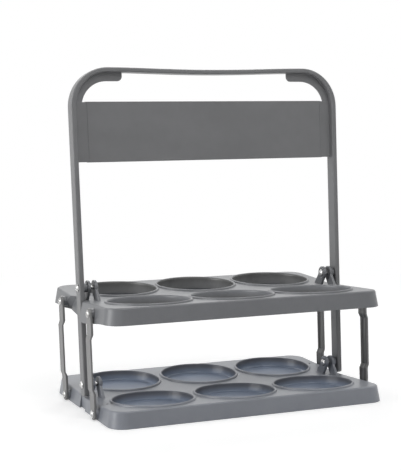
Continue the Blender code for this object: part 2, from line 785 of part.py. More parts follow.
def link_strip_outline():
    """A link's joggled strip seen from the front, as (outward, up) from its middle."""
    outer = LINK_INNER + LINK_THICKNESS
    reach = LINK_HALF + LINK_WIDTH
    knee = LINK_HALF - LINK_FLAT
    bend = knee - LINK_JOGGLE_RUN
    side = [(0, reach), (0, knee), (LINK_JOGGLE, bend), (LINK_JOGGLE, -bend), (0, -knee), (0, -reach)]
    outline = [(LINK_INNER + step, up) for step, up in side]
    outline += [(outer + step, up) for step, up in reversed(side)]
    return outline


def link_shape_outline():
    """A link's outline from the side: straight edges that taper to small round ends."""
    radius = (LINK_END_RADIUS, LINK_END_RADIUS)
    half = LINK_WIDTH / 2
    knee = LINK_HALF - LINK_TAPER
    spread = math.degrees(math.atan2(half - LINK_END_RADIUS, LINK_TAPER))
    steps = ARC_STEPS + 2
    top = arc((0, LINK_HALF), radius, spread, 180 - spread, steps)
    bottom = arc((0, -LINK_HALF), radius, 180 + spread, 360 - spread, steps)
    return top + [(-half, knee), (-half, -knee)] + bottom + [(half, -knee), (half, knee)]


def link_mesh(name, cutters):
    """One link of the +X end, its origin on the lower pivot."""
    strip = plate_mesh(name + "_strip", link_strip_outline(), LINK_WIDTH + OVERRUN)
    strip.transform(plane_to_front())
    work = new_object(name + "_work", strip, cutters)
    across = 4 * LINK_JOGGLE + LINK_THICKNESS
    shape = plate_mesh(name + "_shape", link_shape_outline(), across)
    shape.transform(plane_to_side() @ Matrix.Translation((0, 0, LINK_INNER)))
    boolean(work, shape, "INTERSECT", cutters)
    reach = LINK_HALF - LINK_FLAT - LINK_JOGGLE_RUN
    channel_floor = LINK_INNER + LINK_JOGGLE + CHANNEL_DEPTH
    low = (LINK_INNER, -CHANNEL_WIDTH / 2, -reach)
    channel = box_mesh(name + "_channel", low, (channel_floor, CHANNEL_WIDTH / 2, reach))
    boolean(work, channel, "DIFFERENCE", cutters)
    end = LINK_INNER + LINK_THICKNESS + OVERRUN
    bore = cylinder_mesh(name + "_bore", RIVET_RADIUS + GAP, LINK_INNER - OVERRUN, end)
    places = [Matrix.Translation((0, 0, LINK_HALF)), Matrix.Translation((0, 0, -LINK_HALF))]
    boolean(work, joined_mesh(name + "_bores", bore, places), "DIFFERENCE", cutters)
    mesh = baked_mesh(work, name)
    mesh.transform(Matrix.Translation((0, 0, LINK_HALF)))
    return mesh


def build_links(group, cutters, deck_height, start_y):
    """Four links, one on each corner's lower pivot, leaning with the legs."""
    right = link_mesh("link", cutters)
    left = joined_mesh("link_left", right, [Matrix.Scale(-1, 4, (1, 0, 0))])
    for side, mesh in (("left", left), ("right", right)):
        for row, sign in (("front", -1), ("back", 1)):
            name = "link_" + row + "_" + side
            place = (0, start_y + sign * LINK_PIVOT_Y, deck_height - LINK_PIVOT_DROP)
            link = new_object(name, mesh.copy(), group, place, (-LEAN, 0, 0))
            shade(link, plastic(name))


def dome(radius, height, top):
    """Profile of a domed head, from its crown to its rim."""
    return [(0, top)] + arc((0, top - height), (radius, height), 60, 0, 2)


def fastener_mesh(name, shank, shank_top, shank_bottom, head, tail):
    """A headed pin along X: a domed head outside and a domed tail inside."""
    head_radius, head_height = head
    tail_radius, tail_height = tail
    profile = dome(head_radius, head_height, shank_top + head_height)
    profile += [(shank, shank_top), (shank, shank_bottom)]
    profile += reversed(dome(tail_radius, -tail_height, shank_bottom - tail_height))
    mesh = turned_mesh(name, profile, SMALL_STEPS)
    mesh.transform(Matrix.Rotation(math.pi / 2, 4, "Y"))
    return mesh


def rivet_mesh():
    """A link rivet of the +X end."""
    outside = LINK_INNER + LINK_THICKNESS + GAP
    inside = BACKING - GAP
    head = (RIVET_HEAD_RADIUS, RIVET_HEAD_HEIGHT)
    tail = (RIVET_TAIL_RADIUS, RIVET_TAIL_HEIGHT)
    return fastener_mesh("link_rivet", RIVET_RADIUS, outside, inside, head, tail)


def pin_mesh():
    """A leg pin of the +X end."""
    outside = LEG_OUTER + GAP
    inside = FAR_EAR_INNER - GAP
    head = (PIN_HEAD_RADIUS, PIN_HEAD_HEIGHT)
    return fastener_mesh("leg_pin", PIN_RADIUS, outside, inside, head, head)


def build_fasteners(group, deck_height, y, level, parent=None):
    """The two leg pins and four link rivets that one tray carries."""
    sides = (("left", Matrix.Scale(-1, 4, (1, 0, 0))), ("right", Matrix.Identity(4)))
    for side, matrix in sides:
        rivet = joined_mesh("link_rivet_" + side, rivet_mesh(), [matrix])
        pin = joined_mesh("leg_pin_" + side, pin_mesh(), [matrix])
        items = [(pin, "leg_pin_" + level + "_" + side, 0, LEG_PIVOT_RISE)]
        items.append((rivet, "rivet_" + level + "_front_" + side, -LINK_PIVOT_Y, -LINK_PIVOT_DROP))
        items.append((rivet, "rivet_" + level + "_back_" + side, LINK_PIVOT_Y, -LINK_PIVOT_DROP))
        for mesh, name, offset, rise in items:
            item = new_object(name, mesh.copy(), group, (0, y + offset, deck_height + rise))
            item.parent = parent
            shade(item, steel(name))


def main():
    """Build the rack at rest, leaning back against its stops."""
    clear_scene()
    group = new_collection("bottle_rack")
    cutters = new_collection("bottle_rack_cutters")
    lower_y = -SHIFT / 2
    handle_pivot = new_object("handle_pivot", None, cutters, (0, lower_y, TRAY_HEIGHT + LEG_PIVOT_RISE), (-LEAN, 0, 0))
    place = (0, lower_y + SHIFT, TRAY_HEIGHT + LEG_PIVOT_RISE + RISE)
    upper_pivot = new_object("upper_tray_pivot", None, cutters, place)
    build_lower_tray(group, cutters, (0, lower_y, TRAY_HEIGHT))
    build_upper_tray(group, cutters, upper_pivot)
    build_handle(group, cutters, handle_pivot)
    build_links(group, cutters, TRAY_HEIGHT, lower_y)
    build_fasteners(group, TRAY_HEIGHT, lower_y, "lower")
    build_fasteners(group, -LEG_PIVOT_RISE, 0, "upper", upper_pivot)


main()
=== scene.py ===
"""Looks for the folding bottle rack: moulded grey plastic with bright rivets.

Every piece of the part's solids is made again here in the same place, with
fine, rounded edges. The leg ends, far ears, link tabs, heads and the upper rim
differ a little from the solids, and the rings round the pins are only here. X
runs along the trays, Y to the back and Z up. A tray's own Z = 0 is its deck's
height at the bottle places.
"""
import math

import bmesh
import bpy
from mathutils import Matrix, Vector


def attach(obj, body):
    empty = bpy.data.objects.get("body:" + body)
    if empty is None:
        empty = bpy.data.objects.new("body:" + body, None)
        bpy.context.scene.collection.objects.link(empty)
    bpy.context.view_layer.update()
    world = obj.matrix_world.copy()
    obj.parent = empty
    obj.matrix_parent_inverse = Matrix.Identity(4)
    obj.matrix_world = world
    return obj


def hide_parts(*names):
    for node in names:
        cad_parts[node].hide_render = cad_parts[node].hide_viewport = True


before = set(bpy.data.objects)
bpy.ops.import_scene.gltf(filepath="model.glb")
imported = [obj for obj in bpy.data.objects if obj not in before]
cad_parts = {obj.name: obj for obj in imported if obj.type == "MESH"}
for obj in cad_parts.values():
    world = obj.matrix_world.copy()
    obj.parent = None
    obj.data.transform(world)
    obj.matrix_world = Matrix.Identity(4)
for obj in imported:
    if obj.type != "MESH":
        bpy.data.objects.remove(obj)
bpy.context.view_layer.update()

# Photograph's frame, in pixels, and the camera that was fitted to it, in metres
IMAGE_WIDTH = 401
IMAGE_HEIGHT = 470
FOCAL_PIXELS = 1186.87
PRINCIPAL_X = 182.73
PRINCIPAL_Y = 329.47
CAMERA_PLACE = (-0.54114, -1.26981, 0.30921)
CAMERA_AZIMUTH = 0.3758
CAMERA_ELEVATION = 0.1647
CAMERA_ROLL = -0.0135
SENSOR_WIDTH = 36.0

# Bottle places, in metres like all sizes here
COLUMNS = 3
ROWS = 2
HOLE_RADIUS = 0.046
HOLE_SPACE_X = 0.0080
HOLE_SPACE_Y = 0.0170
COLLAR_DEPTH = 0.0110
CUP_INSET = 0.0012
CUP_DEPTH = 0.0085
CUP_TAPER = 0.0012
CUP_FILLET = 0.0030
LIP_HEIGHT = 0.0020
LIP_WIDTH = 0.0034
LIP_CREST = 0.0006

# Tray shell
END_MARGIN = 0.0197
SIDE_MARGIN = 0.0099
TRAY_HEIGHT = 0.0165
DECK_TILT = math.radians(2.5)
DRAFT = math.radians(9.5)
WALL = 0.0022
DECK = 0.0022
CORNER_RADIUS = 0.0185
EDGE_ROUND = 0.0020
RIB = 0.0020
UPPER_RIB_DEPTH = 0.0090
BASE_PAD_RADIUS = 0.0080
GATE_RADIUS = 0.0016
GATE_DEPTH = 0.0008
GATE_X = 0.1530
GATE_Y = 0.0548

# Arms of the parallelogram
ARM_LENGTH = 0.1099
LEAN = math.radians(3.6)
FOLD_LIMIT = math.radians(55.0)
GAP = 0.0003

# Links
LINK_PIVOT_DROP = 0.0097
LINK_WIDTH = 0.0159
LINK_END_RADIUS = 0.0065
LINK_TAPER = 0.0100
LINK_THICKNESS = 0.0020
TAB_THICKNESS = 0.0028
LINK_JOGGLE = 0.0024
LINK_FLAT = 0.0225
LINK_JOGGLE_RUN = 0.0050
LINK_JOGGLE_RINGS = (0.5, 0.95, 1.0, 1.1)
LINK_LAST_ANGLE = math.radians(84)
CHANNEL_WIDTH = 0.0104
CHANNEL_DEPTH = 0.0010
CHANNEL_END = 0.0006
CHANNEL_MOST = 0.6
LINK_CLEARANCE = 0.0005
BOSS_RADIUS = 0.0058

# Link rivets and leg pins
RIVET_RADIUS = 0.0020
RIVET_HEAD = (0.0043, 0.0022)
RIVET_TAIL = (0.0032, 0.0012)
PIN_RADIUS = 0.0025
PIN_HEAD = (0.0045, 0.0023)
HEAD_MARK_RADIUS = 0.0008
HEAD_MARK_DEPTH = 0.0003
TAIL_MARK_DEPTH = 0.0002
HEAD_CURVE = (74, 12)
HEAD_RIM = 0.88

# Handle frame, measured up the legs from the lower pivots
LEG_PIVOT_RISE = 0.0119
LEG_WIDTH = 0.0153
LEG_THICKNESS = 0.0060
LEG_INSET = 0.0008
LEG_END_REACH = 0.0134
LEG_END_START = 4
HANDLE_RISE = 0.3535
HANDLE_CORNER = 0.0438
GRIP_THICKNESS = 0.0050
GRIP_DIP = 0.0022
WEB_WIDTH = 0.0098
WEB_SIDE_WIDTH = 0.0080
WEB_THICKNESS = 0.0026
WEB_REACH = 0.0185
WEB_END_ROUND = 0.0055
PANEL_BOTTOM = 0.2493
PANEL_TOP = 0.3162
PANEL_THICKNESS = 0.0044
PANEL_STRIP = 0.0140
PANEL_STRIP_THICKNESS = 0.0034
PANEL_STEP = 0.0030
PANEL_EDGE = 0.0004

# Pivot ears on the trays
EAR_RADIUS = 0.0080
EAR_FOOT = 0.0170
EAR_LEAN = 0.0110
NEAR_EAR_THICKNESS = 0.0031
FAR_EAR_THICKNESS = 0.0032
EAR_SPACE = 0.0046
EAR_BOSS_HEIGHT = 0.0041
EAR_BOSS_RADIUS = 0.0052
COLLAR_RING = (0.0053, 0.0069)
COLLAR_RING_HEIGHT = 0.0008
EAR_WRAP = 10

# Leg pockets in the trays' end walls
POCKET_CLEARANCE = 0.0006
POCKET_RAMP = 0.0120
GROOVE_DEPTH = 0.0031
APRON_DROP = 0.0075
APRON_FRONT = 0.025
APRON_BACK = 0.015
APRON_FRONT_SLOPE = 0.068
APRON_BACK_SLOPE = 0.057
RIM_EASE = 0.5

# Fine edges, smoothness and tolerances
BAND_EDGE = 0.0015
BAND_EDGE_MOST = (0.45, 0.9)
PLATE_EDGE = 0.0005
LINK_EDGE = 0.0005
LINK_EDGE_MOST = 0.3
RING_STEPS = 112
PIVOT_STEPS = 28
HEAD_STEPS = 8
CORNER_STEPS = 12
CURVE_STEPS = 18
GRIP_STEPS = 16
RIM_STEPS = 12
LINK_END_STEPS = 8
LIP_STEPS = 7
LEG_END_STEPS = 7
EDGE_STEPS = 4
LEAST_SLANT = 0.35
OVERRUN = 0.0020
WELD = 0.00001
SHARP_ANGLE = math.radians(32.0)

# Plastics, each with its light colour, dark colour and roughness
# The base tray's plastic is a paler, bluer copy of the guide tray's, as painted light for the lower tray
BASE_PLASTIC = ((0.258, 0.272, 0.304), (0.230, 0.243, 0.274), 0.27)
GUIDE_PLASTIC = ((0.187, 0.192, 0.203), (0.165, 0.170, 0.181), 0.30)
HANDLE_PLASTIC = ((0.196, 0.198, 0.204), (0.176, 0.178, 0.183), 0.31)
LINK_PLASTIC = ((0.212, 0.212, 0.213), (0.188, 0.188, 0.189), 0.34)
PLASTIC_IOR = 1.49

# Painted light and shade by place, for the front row's sides, the back row's sides and the floors, and for
# the links' insides: painted shade on the cups' sides, the back holes' sides, deep in the holes and on the
# links' insides, painted light on the front holes' sides, and a painted cool reflection on the cup floors
CUP_PAINTED_SHADE = ((0.38, 0.39, 0.42), (0.36, 0.37, 0.40), (0.86, 0.98, 1.16))
HOLE_PAINTED_LIGHT_AND_SHADE = ((1.12, 1.12, 1.12), (0.54, 0.53, 0.49), (0.75, 0.74, 0.71))
INNER_PAINTED_SHADE = ((0.34, 0.34, 0.33), (0.80, 0.80, 0.80))
NO_TINT = (1, 1, 1)
TINT_BORDER = (0.0002, 0.0012)
TINT_HEIGHTS = (-0.0075, -0.0005)
ROW_CHANGE = 0.01

# Steel, and the dark reflections painted on it in noise patches
STEEL_COLOURS = ((0.42, 0.42, 0.42), (0.80, 0.80, 0.79))
DARK_REFLECTION_COLOUR = (0.09, 0.085, 0.08)
DARK_REFLECTION_SHARE = 0.82
STEEL_ROUGHNESS = 0.14

# Noises: scale, detail, roughness and, where it isn't even, stretch
FLOW = (9.0, 2.0, 0.5, (1, 1, 2.5))
CLOUD = (70.0, 4.0, 0.6)
GRAIN = (2400.0, 2.0, 0.5)
RIPPLE = (320.0, 2.0, 0.5)
SCUFF = (55.0, 6.0, 0.75, (1, 6, 1))
SHADE_STREAK = (330.0, 2.0, 0.5, (0.2, 1, 0.03))
SPOT = (700.0, 3.0, 0.6)
DARK_REFLECTION_NOISE = (420.0, 3.0, 0.65)
TURNING = (5200.0, 2.0, 0.5)

# Where each of these starts and is complete
SCUFF_RANGE = (0.64, 0.76)
LIGHT_RANGE = (0.34, 0.66)
FACING_RANGE = (0.4, 0.8)
SHADE_STREAK_RANGE = (0.42, 0.60)
DARK_REFLECTION_RANGE = (0.50, 0.62)
SPOT_RANGE = (0.35, 0.7)

# Studio: the floor fades to white between two distances, and all lamps face one point
FLOOR_HALF = 6.0
FLOOR_DROP = 0.0002
FLOOR_COLOUR = (0.80, 0.80, 0.80)
FLOOR_FADE = (0.55, 1.3)
FLOOR_GLOW = 0.42
WORLD_GLOW = 0.05
NEAR_CLIP = 0.01
LAMP_TARGET = (0, 0, 0.15)
LAMPS = (
    ("left_lamp", (-2.2, 0.0, 0.75), 1.2, 27),
    ("front_lamp", (0.1, -1.3, 1.9), 1.4, 21),
    ("back_lamp", (0.3, 1.5, 1.7), 1.4, 18),
    ("right_lamp", (1.7, -0.2, 1.6), 1.2, 9),
)

# Sizes that follow from those above
PITCH_X = 2 * HOLE_RADIUS + HOLE_SPACE_X
PITCH_Y = 2 * HOLE_RADIUS + HOLE_SPACE_Y
CUP_RADIUS = HOLE_RADIUS - CUP_INSET
TRAY_LENGTH = (COLUMNS - 1) * PITCH_X + 2 * (HOLE_RADIUS + END_MARGIN)
TRAY_DEPTH = (ROWS - 1) * PITCH_Y + 2 * (HOLE_RADIUS + SIDE_MARGIN)
END_FACE = TRAY_LENGTH / 2
VALLEY_DROP = PITCH_Y / 2 * math.tan(DECK_TILT)
LINK_PIVOT_Y = (ROWS - 1) * PITCH_Y / 2
RISE = ARM_LENGTH * math.cos(LEAN)
SHIFT = ARM_LENGTH * math.sin(LEAN)
LEG_OUTER = END_FACE - LEG_INSET
LEG_INNER = LEG_OUTER - LEG_THICKNESS
POCKET_FLOOR = LEG_INNER - POCKET_CLEARANCE
BACKING = POCKET_FLOOR - WALL
NEAR_EAR_OUTER = LEG_INNER - GAP - EAR_BOSS_HEIGHT
NEAR_EAR_INNER = NEAR_EAR_OUTER - NEAR_EAR_THICKNESS
FAR_EAR_OUTER = NEAR_EAR_INNER - EAR_SPACE
FAR_EAR_INNER = FAR_EAR_OUTER - FAR_EAR_THICKNESS
LINK_INNER = END_FACE + APRON_DROP * math.tan(DRAFT) + LINK_CLEARANCE
LINK_OUTER = LINK_INNER + TAB_THICKNESS
LINK_HALF = ARM_LENGTH / 2
LEG_TURN = FOLD_LIMIT - LEAN
LEG_STOP = TRAY_HEIGHT + LEG_PIVOT_RISE + APRON_DROP
POCKET_FRONT = LEG_STOP * math.tan(LEAN) + LEG_WIDTH / 2 / math.cos(LEAN) + GAP
CORNER_X = LEG_OUTER - HANDLE_CORNER
CORNER_Z = HANDLE_RISE - HANDLE_CORNER

# Where the pieces stand at rest
LOWER_PLACE = Matrix.Translation((0, -SHIFT / 2, TRAY_HEIGHT))
UPPER_PLACE = Matrix.Translation((0, SHIFT / 2, TRAY_HEIGHT + RISE))
LEANING = Matrix.Rotation(-LEAN, 4, "X")
HANDLE_PLACE = Matrix.Translation((0, -SHIFT / 2, TRAY_HEIGHT + LEG_PIVOT_RISE)) @ LEANING
OTHER_END = Matrix.Scale(-1, 4, (1, 0, 0))
BOTH_ENDS = (Matrix.Identity(4), OTHER_END)
BOTH_TURNS = (Matrix.Identity(4), Matrix.Rotation(math.pi, 4, "Z"))
TO_SIDE = Matrix(((0, 0, 1, 0), (1, 0, 0, 0), (0, 1, 0, 0), (0, 0, 0, 1)))
TO_FRONT = Matrix.Rotation(math.pi / 2, 4, "X")
UP_TO_OUT = Matrix.Rotation(math.pi / 2, 4, "Y")
SIDES = (("left", OTHER_END), ("right", Matrix.Identity(4)))
LINK_ROWS = (("front", -1), ("back", 1))


class Shade:
    """A shader socket that takes part in Python expressions."""

    def __init__(self, tree, socket):
        self.tree = tree
        self.socket = socket

    def math(self, operation, *others):
        """A Math node on this value and others."""
        values = {index: value for index, value in enumerate((self,) + others)}
        return self.tree.node("ShaderNodeMath", {"operation": operation}, values)

    def __add__(self, other):
        return self.math("ADD", other)

    def __mul__(self, other):
        return self.math("MULTIPLY", other)

    def __sub__(self, other):
        return self.math("SUBTRACT", other)

    def __rsub__(self, other):
        return (self * -1).math("ADD", other)

    def __truediv__(self, other):
        return self.math("DIVIDE", other)

    def clamp(self):
        """This value held between 0 and 1."""
        return self.tree.node("ShaderNodeClamp", {}, {"Value": self})

    def between(self, low, high):
        """0 below low, 1 above high and smooth in between."""
        inputs = {"Value": self, "From Min": low, "From Max": high}
        return self.tree.node("ShaderNodeMapRange", {"interpolation_type": "SMOOTHSTEP"}, inputs)


class Tree:
    """The nodes of one material or world."""

    def __init__(self, owner):
        self.owner = owner
        owner.use_nodes = True
        self.nodes = owner.node_tree.nodes
        self.links = owner.node_tree.links
        self.nodes.clear()

    def node(self, kind, settings=None, inputs=None, output=0):
        """Add a node, make its settings, then set or link its inputs."""
        item = self.nodes.new(kind)
        for key, value in (settings or {}).items():
            setattr(item, key, value)
        for key, value in (inputs or {}).items():
            self.feed(item.inputs[key], value)
        return Shade(self, item.outputs[output]) if item.outputs else None

    def feed(self, socket, value):
        """Link a shade to a socket, or set its value."""
        if isinstance(value, Shade):
            self.links.new(value.socket, socket)
        elif socket.type == "RGBA" and len(value) == 3:
            socket.default_value = tuple(value) + (1.0,)
        else:
            socket.default_value = value

    def place(self):
        """Where a point is on the rack, in metres."""
        return self.node("ShaderNodeTexCoord", output="Object")

    def axis(self, vector, index):
        """One coordinate of a vector."""
        return self.node("ShaderNodeSeparateXYZ", {}, {"Vector": vector}, output=index)

    def seen(self):
        """1 for rays from the camera, a reflection or a see-through face, and 0 for rays of light."""
        path = self.nodes.new("ShaderNodeLightPath")
        camera, glossy, through = (
            Shade(self, path.outputs["Is " + kind + " Ray"]) for kind in ("Camera", "Glossy", "Transmission")
        )
        return (camera + glossy + through).clamp()

    def noise(self, scale, detail, roughness, stretch=(1, 1, 1)):
        """Smooth noise of about so many blotches a metre."""
        vector = self.node("ShaderNodeMapping", {}, {"Vector": self.place(), "Scale": stretch})
        inputs = {"Vector": vector, "Scale": scale, "Detail": detail, "Roughness": roughness}
        return self.node("ShaderNodeTexNoise", {}, inputs)

    def mix(self, share, low, high):
        """A colour between two others."""
        inputs = {"Factor": share, 6: low, 7: high}
        return self.node("ShaderNodeMix", {"data_type": "RGBA"}, inputs, output=2)

    def bump(self, height, strength, distance, normal=None):
        """A normal that follows a height."""
        inputs = {"Height": height, "Strength": strength, "Distance": distance}
        if normal is not None:
            inputs["Normal"] = normal
        return self.node("ShaderNodeBump", {}, inputs)

    def finish(self, **inputs):
        """Close the material with a Principled shader."""
        names = {key.replace("_", " ").title().replace("Ior", "IOR"): value for key, value in inputs.items()}
        shader = self.node("ShaderNodeBsdfPrincipled", {}, names)
        self.node("ShaderNodeOutputMaterial", {}, {"Surface": shader})
        return self.owner


def painted_place_shade(tree, deck, centre_y, radius, front_side, back_side, floor):
    """The painted light and shade of a tray's bottle places: a factor for the upper part of each row's sides
    and one for their floors, such as painted shade on the cups' sides and a painted cool reflection on their
    floors.
    """
    x, y, z = (tree.axis(tree.place(), index) for index in range(3))
    last = (COLUMNS - 1) / 2
    column = (x / PITCH_X).math("ROUND").math("MINIMUM", last).math("MAXIMUM", -last)
    across = x - column * PITCH_X
    along = (y - centre_y).math("ABSOLUTE") - PITCH_Y / 2
    out = (across * across + along * along).math("SQRT")
    within = 1 - out.between(radius + TINT_BORDER[0], radius + TINT_BORDER[1])
    height = z - deck - along * math.tan(DECK_TILT)
    side = tree.mix((y - centre_y).between(-ROW_CHANGE, ROW_CHANGE), front_side, back_side)
    return tree.mix(within, NO_TINT, tree.mix(height.between(*TINT_HEIGHTS), floor, side))


def inner_face_shade(tree):
    """The painted shade of the faces that look towards the rack's middle, in streaks along them."""
    x = tree.axis(tree.place(), 0)
    normal = tree.node("ShaderNodeTexCoord", output="Normal")
    facing = tree.axis(normal, 0) * x.math("SIGN") * -1
    shade_streak = tree.noise(*SHADE_STREAK).between(*SHADE_STREAK_RANGE)
    return tree.mix(facing.between(*FACING_RANGE), NO_TINT, tree.mix(shade_streak, *INNER_PAINTED_SHADE))


def moulded_plastic(name, light, dark, sheen, place_shading=None, *places):
    """Satin polypropylene: faint flow marks, fine sparkle grain and a few scuffs, and, when given, painted
    light and shade by place.
    """
    tree = Tree(bpy.data.materials.new(name))
    flow = tree.noise(*FLOW)
    cloud = tree.noise(*CLOUD)
    grain = tree.noise(*GRAIN)
    ripple = tree.noise(*RIPPLE)
    scuff = tree.noise(*SCUFF).between(*SCUFF_RANGE)
    share = (flow * 0.55 + cloud * 0.30 + grain * 0.15).between(*LIGHT_RANGE)
    scuffs_and_painted_shade = tree.mix(scuff * 0.30, tree.mix(share, dark, light), [value * 1.25 for value in light])
    # Painted light and shade by place, multiplied into the colour
    if place_shading:
        painted_shade = place_shading(tree, *places)
        scuffs_and_painted_shade = tree.node("ShaderNodeVectorMath", {"operation": "MULTIPLY"}, {0: scuffs_and_painted_shade, 1: painted_shade})
    roughness = cloud * 0.12 + scuff * 0.10 + sheen
    fine = tree.bump(grain, 0.10, 0.0004)
    normal = tree.bump(ripple, 0.14, 0.0005, fine)
    return tree.finish(base_color=scuffs_and_painted_shade, roughness=roughness, normal=normal, ior=PLASTIC_IOR)


def plated_steel(name):
    """Zinc-plated steel with faint turning marks, dull spots and painted dark reflections in noise patches.
    """
    tree = Tree(bpy.data.materials.new(name))
    spot = tree.noise(*SPOT)
    dark_reflection = tree.noise(*DARK_REFLECTION_NOISE).between(*DARK_REFLECTION_RANGE)
    fine = tree.noise(*TURNING)
    bright = tree.mix(spot.between(*SPOT_RANGE), *STEEL_COLOURS)
    # Painted dark reflections: noise patches mixed towards a near-black colour
    colour = tree.mix(dark_reflection * DARK_REFLECTION_SHARE, bright, DARK_REFLECTION_COLOUR)
    roughness = spot * 0.14 + dark_reflection * 0.20 + STEEL_ROUGHNESS
    normal = tree.bump(fine, 0.12, 0.0002)
    return tree.finish(base_color=colour, roughness=roughness, metallic=1.0, normal=normal)


def background(name, colour, near, far):
    """A matt floor that is plain white to the camera and in reflections away from the rack."""
    tree = Tree(bpy.data.materials.new(name))
    distance = tree.node("ShaderNodeVectorMath", {"operation": "LENGTH"}, {0: tree.place()}, output=1)
    matt = tree.node("ShaderNodeBsdfDiffuse", {}, {"Color": colour})
    glow = tree.node("ShaderNodeEmission", {}, {"Color": (1, 1, 1), "Strength": FLOOR_GLOW})
    white = tree.node("ShaderNodeEmission", {}, {"Color": (1, 1, 1), "Strength": 1.0})
    lit = tree.node("ShaderNodeAddShader", {}, {0: matt, 1: glow})
    shown = tree.node("ShaderNodeMixShader", {}, {0: distance.between(near, far), 1: lit, 2: white})
    surface = tree.node("ShaderNodeMixShader", {}, {0: tree.seen(), 1: matt, 2: shown})
    tree.node("ShaderNodeOutputMaterial", {}, {"Surface": surface})
    return tree.owner


# A paler copy of the guide tray's plastic, as painted light
base_plastic = moulded_plastic(
    "base_tray_plastic", *BASE_PLASTIC, painted_place_shade,
    # Painted shade on the cups' sides and a painted cool reflection on their floors
    TRAY_HEIGHT, -SHIFT / 2, CUP_RADIUS, *CUP_PAINTED_SHADE,
)
guide_plastic = moulded_plastic(
    "guide_tray_plastic", *GUIDE_PLASTIC, painted_place_shade,
    # Painted light on the front holes' sides, and painted shade on the back holes' sides and deep in the
    # holes
    TRAY_HEIGHT + RISE, SHIFT / 2, HOLE_RADIUS, *HOLE_PAINTED_LIGHT_AND_SHADE,
)
handle_plastic = moulded_plastic("handle_plastic_look", *HANDLE_PLASTIC)
# Painted shade, in streaks, on the links' faces that look towards the rack's middle
link_plastic = moulded_plastic("link_plastic_look", *LINK_PLASTIC, inner_face_shade)
steel = plated_steel("plated_steel_look")


def made_mesh(name, work):
    """A mesh from finished bmesh work, facing outwards."""
    bmesh.ops.recalc_face_normals(work, faces=work.faces)
    mesh = bpy.data.meshes.new(name)
    work.to_mesh(mesh)
    work.free()
    return mesh


def arc(centre, radii, start, end, steps):
    """Points on an ellipse's arc, angles in degrees from its first axis."""
    points = []
    for step in range(steps + 1):
        angle = math.radians(start + (end - start) * step / steps)
        points.append((centre[0] + radii[0] * math.cos(angle), centre[1] + radii[1] * math.sin(angle)))
    return points


def skin_mesh(name, loops, closed=False):
    """A skin through a row of loops of points, with both ends capped or joined to each other."""
    work = bmesh.new()
    rings = [[work.verts.new(point) for point in loop] for loop in loops]
    count = len(rings[0])
    following = rings[1:] + rings[:1] if closed else rings[1:]
    for low, high in zip(rings, following):
        for index in range(count):
            after = (index + 1) % count
            work.faces.new((low[index], low[after], high[after], high[index]))
    if not closed:
        work.faces.new(rings[0])
        work.faces.new(rings[-1])
    return made_mesh(name, work)


def turned_mesh(name, profile, steps=RING_STEPS):
    """A profile of (radius, height) points turned round Z, closed at the axis or as a ring."""
    angles = [2 * math.pi * step / steps for step in range(steps)]
    turns = [(math.cos(angle), math.sin(angle)) for angle in angles]
    on_axis = profile[0][0] == 0
    inner = profile[1:-1] if on_axis else profile
    loops = [[(radius * c, radius * s, height) for c, s in turns] for radius, height in inner]
    mesh = skin_mesh(name, loops, closed=not on_axis)
    if on_axis:
        raise_centre(mesh, profile[0][1], profile[-1][1])
    return mesh


def raise_centre(mesh, first, last):
    """Split the two caps of a turned mesh to their centres, each at its own height."""
    work = bmesh.new()
    work.from_mesh(mesh)
    caps = sorted((face for face in work.faces if len(face.verts) > 4), key=lambda face: face.verts[0].co.z)
    heights = sorted((first, last))
    for face, height in zip(caps, heights):
        centre = bmesh.ops.poke(work, faces=[face])["verts"][0]
        centre.co = (0, 0, height)
    work.to_mesh(mesh)
    work.free()


def counter_clockwise(outline):
    """The same outline, turned so that its inside is on the left."""
    area = sum(a[0] * b[1] - b[0] * a[1] for a, b in zip(outline, outline[1:] + outline[:1]))
    return outline if area > 0 else outline[::-1]


def drawn_in(outline, distance):
    """An outline moved inwards by a distance."""
    moved = []
    for index, point in enumerate(outline):
        here = Vector(point)
        first = (here - Vector(outline[index - 1])).normalized()
        second = (Vector(outline[(index + 1) % len(outline)]) - here).normalized()
        inwards = Vector((-first.y - second.y, first.x + second.x)).normalized()
        slant = max(inwards.dot(Vector((-first.y, first.x))), LEAST_SLANT)
        moved.append(here + inwards * distance / slant)
    return moved


def plate_mesh(name, outline, thickness):
    """A flat outline with a thickness and rounded edges, centred on the outline's plane."""
    outline = counter_clockwise(outline)
    curve = arc((0, 0), (1, 1), 0, 90, 3)
    levels = [(PLATE_EDGE * (1 - across), PLATE_EDGE * (1 - up) - thickness / 2) for up, across in curve]
    levels += [(inset, -height) for inset, height in levels[::-1]]
    loops = [[(x, y, height) for x, y in drawn_in(outline, inset)] for inset, height in levels]
    return skin_mesh(name, loops)


def box_mesh(name, low, high):
    """A plain box between two corners, as a tool for a cut or a rib."""
    outline = [(low[0], low[1]), (high[0], low[1]), (high[0], high[1]), (low[0], high[1])]
    return skin_mesh(name, [[(x, y, z) for x, y in outline] for z in (low[2], high[2])])


def rod_mesh(name, radius, start, end, steps=PIVOT_STEPS):
    """A closed round rod along X between two X places."""
    ring = arc((0, 0), (radius, radius), 0, 360 - 360 / steps, steps - 1)
    return skin_mesh(name, [[(x, y, z) for y, z in ring] for x in (start, end)])


def copied_mesh(name, mesh, matrices):
    """One mesh that holds a copy of another for each matrix."""
    work = bmesh.new()
    for matrix in matrices:
        copy = mesh.copy()
        copy.transform(matrix)
        work.from_mesh(copy)
        bpy.data.meshes.remove(copy)
    return made_mesh(name, work)


def lean_in(work, rim, axes):
    """Draft: draw vertices towards the middle, the higher they are above the rim."""
    for vert in work.verts:
        lean = (vert.co.z - rim) * math.tan(DRAFT)
        for axis in axes:
            vert.co[axis] -= lean if vert.co[axis] > 0 else -lean


def new_object(name, data):
    """An object in the scene: a mesh, a lamp or the camera."""
    item = bpy.data.objects.new(name, data)
    bpy.context.scene.collection.objects.link(item)
    return item


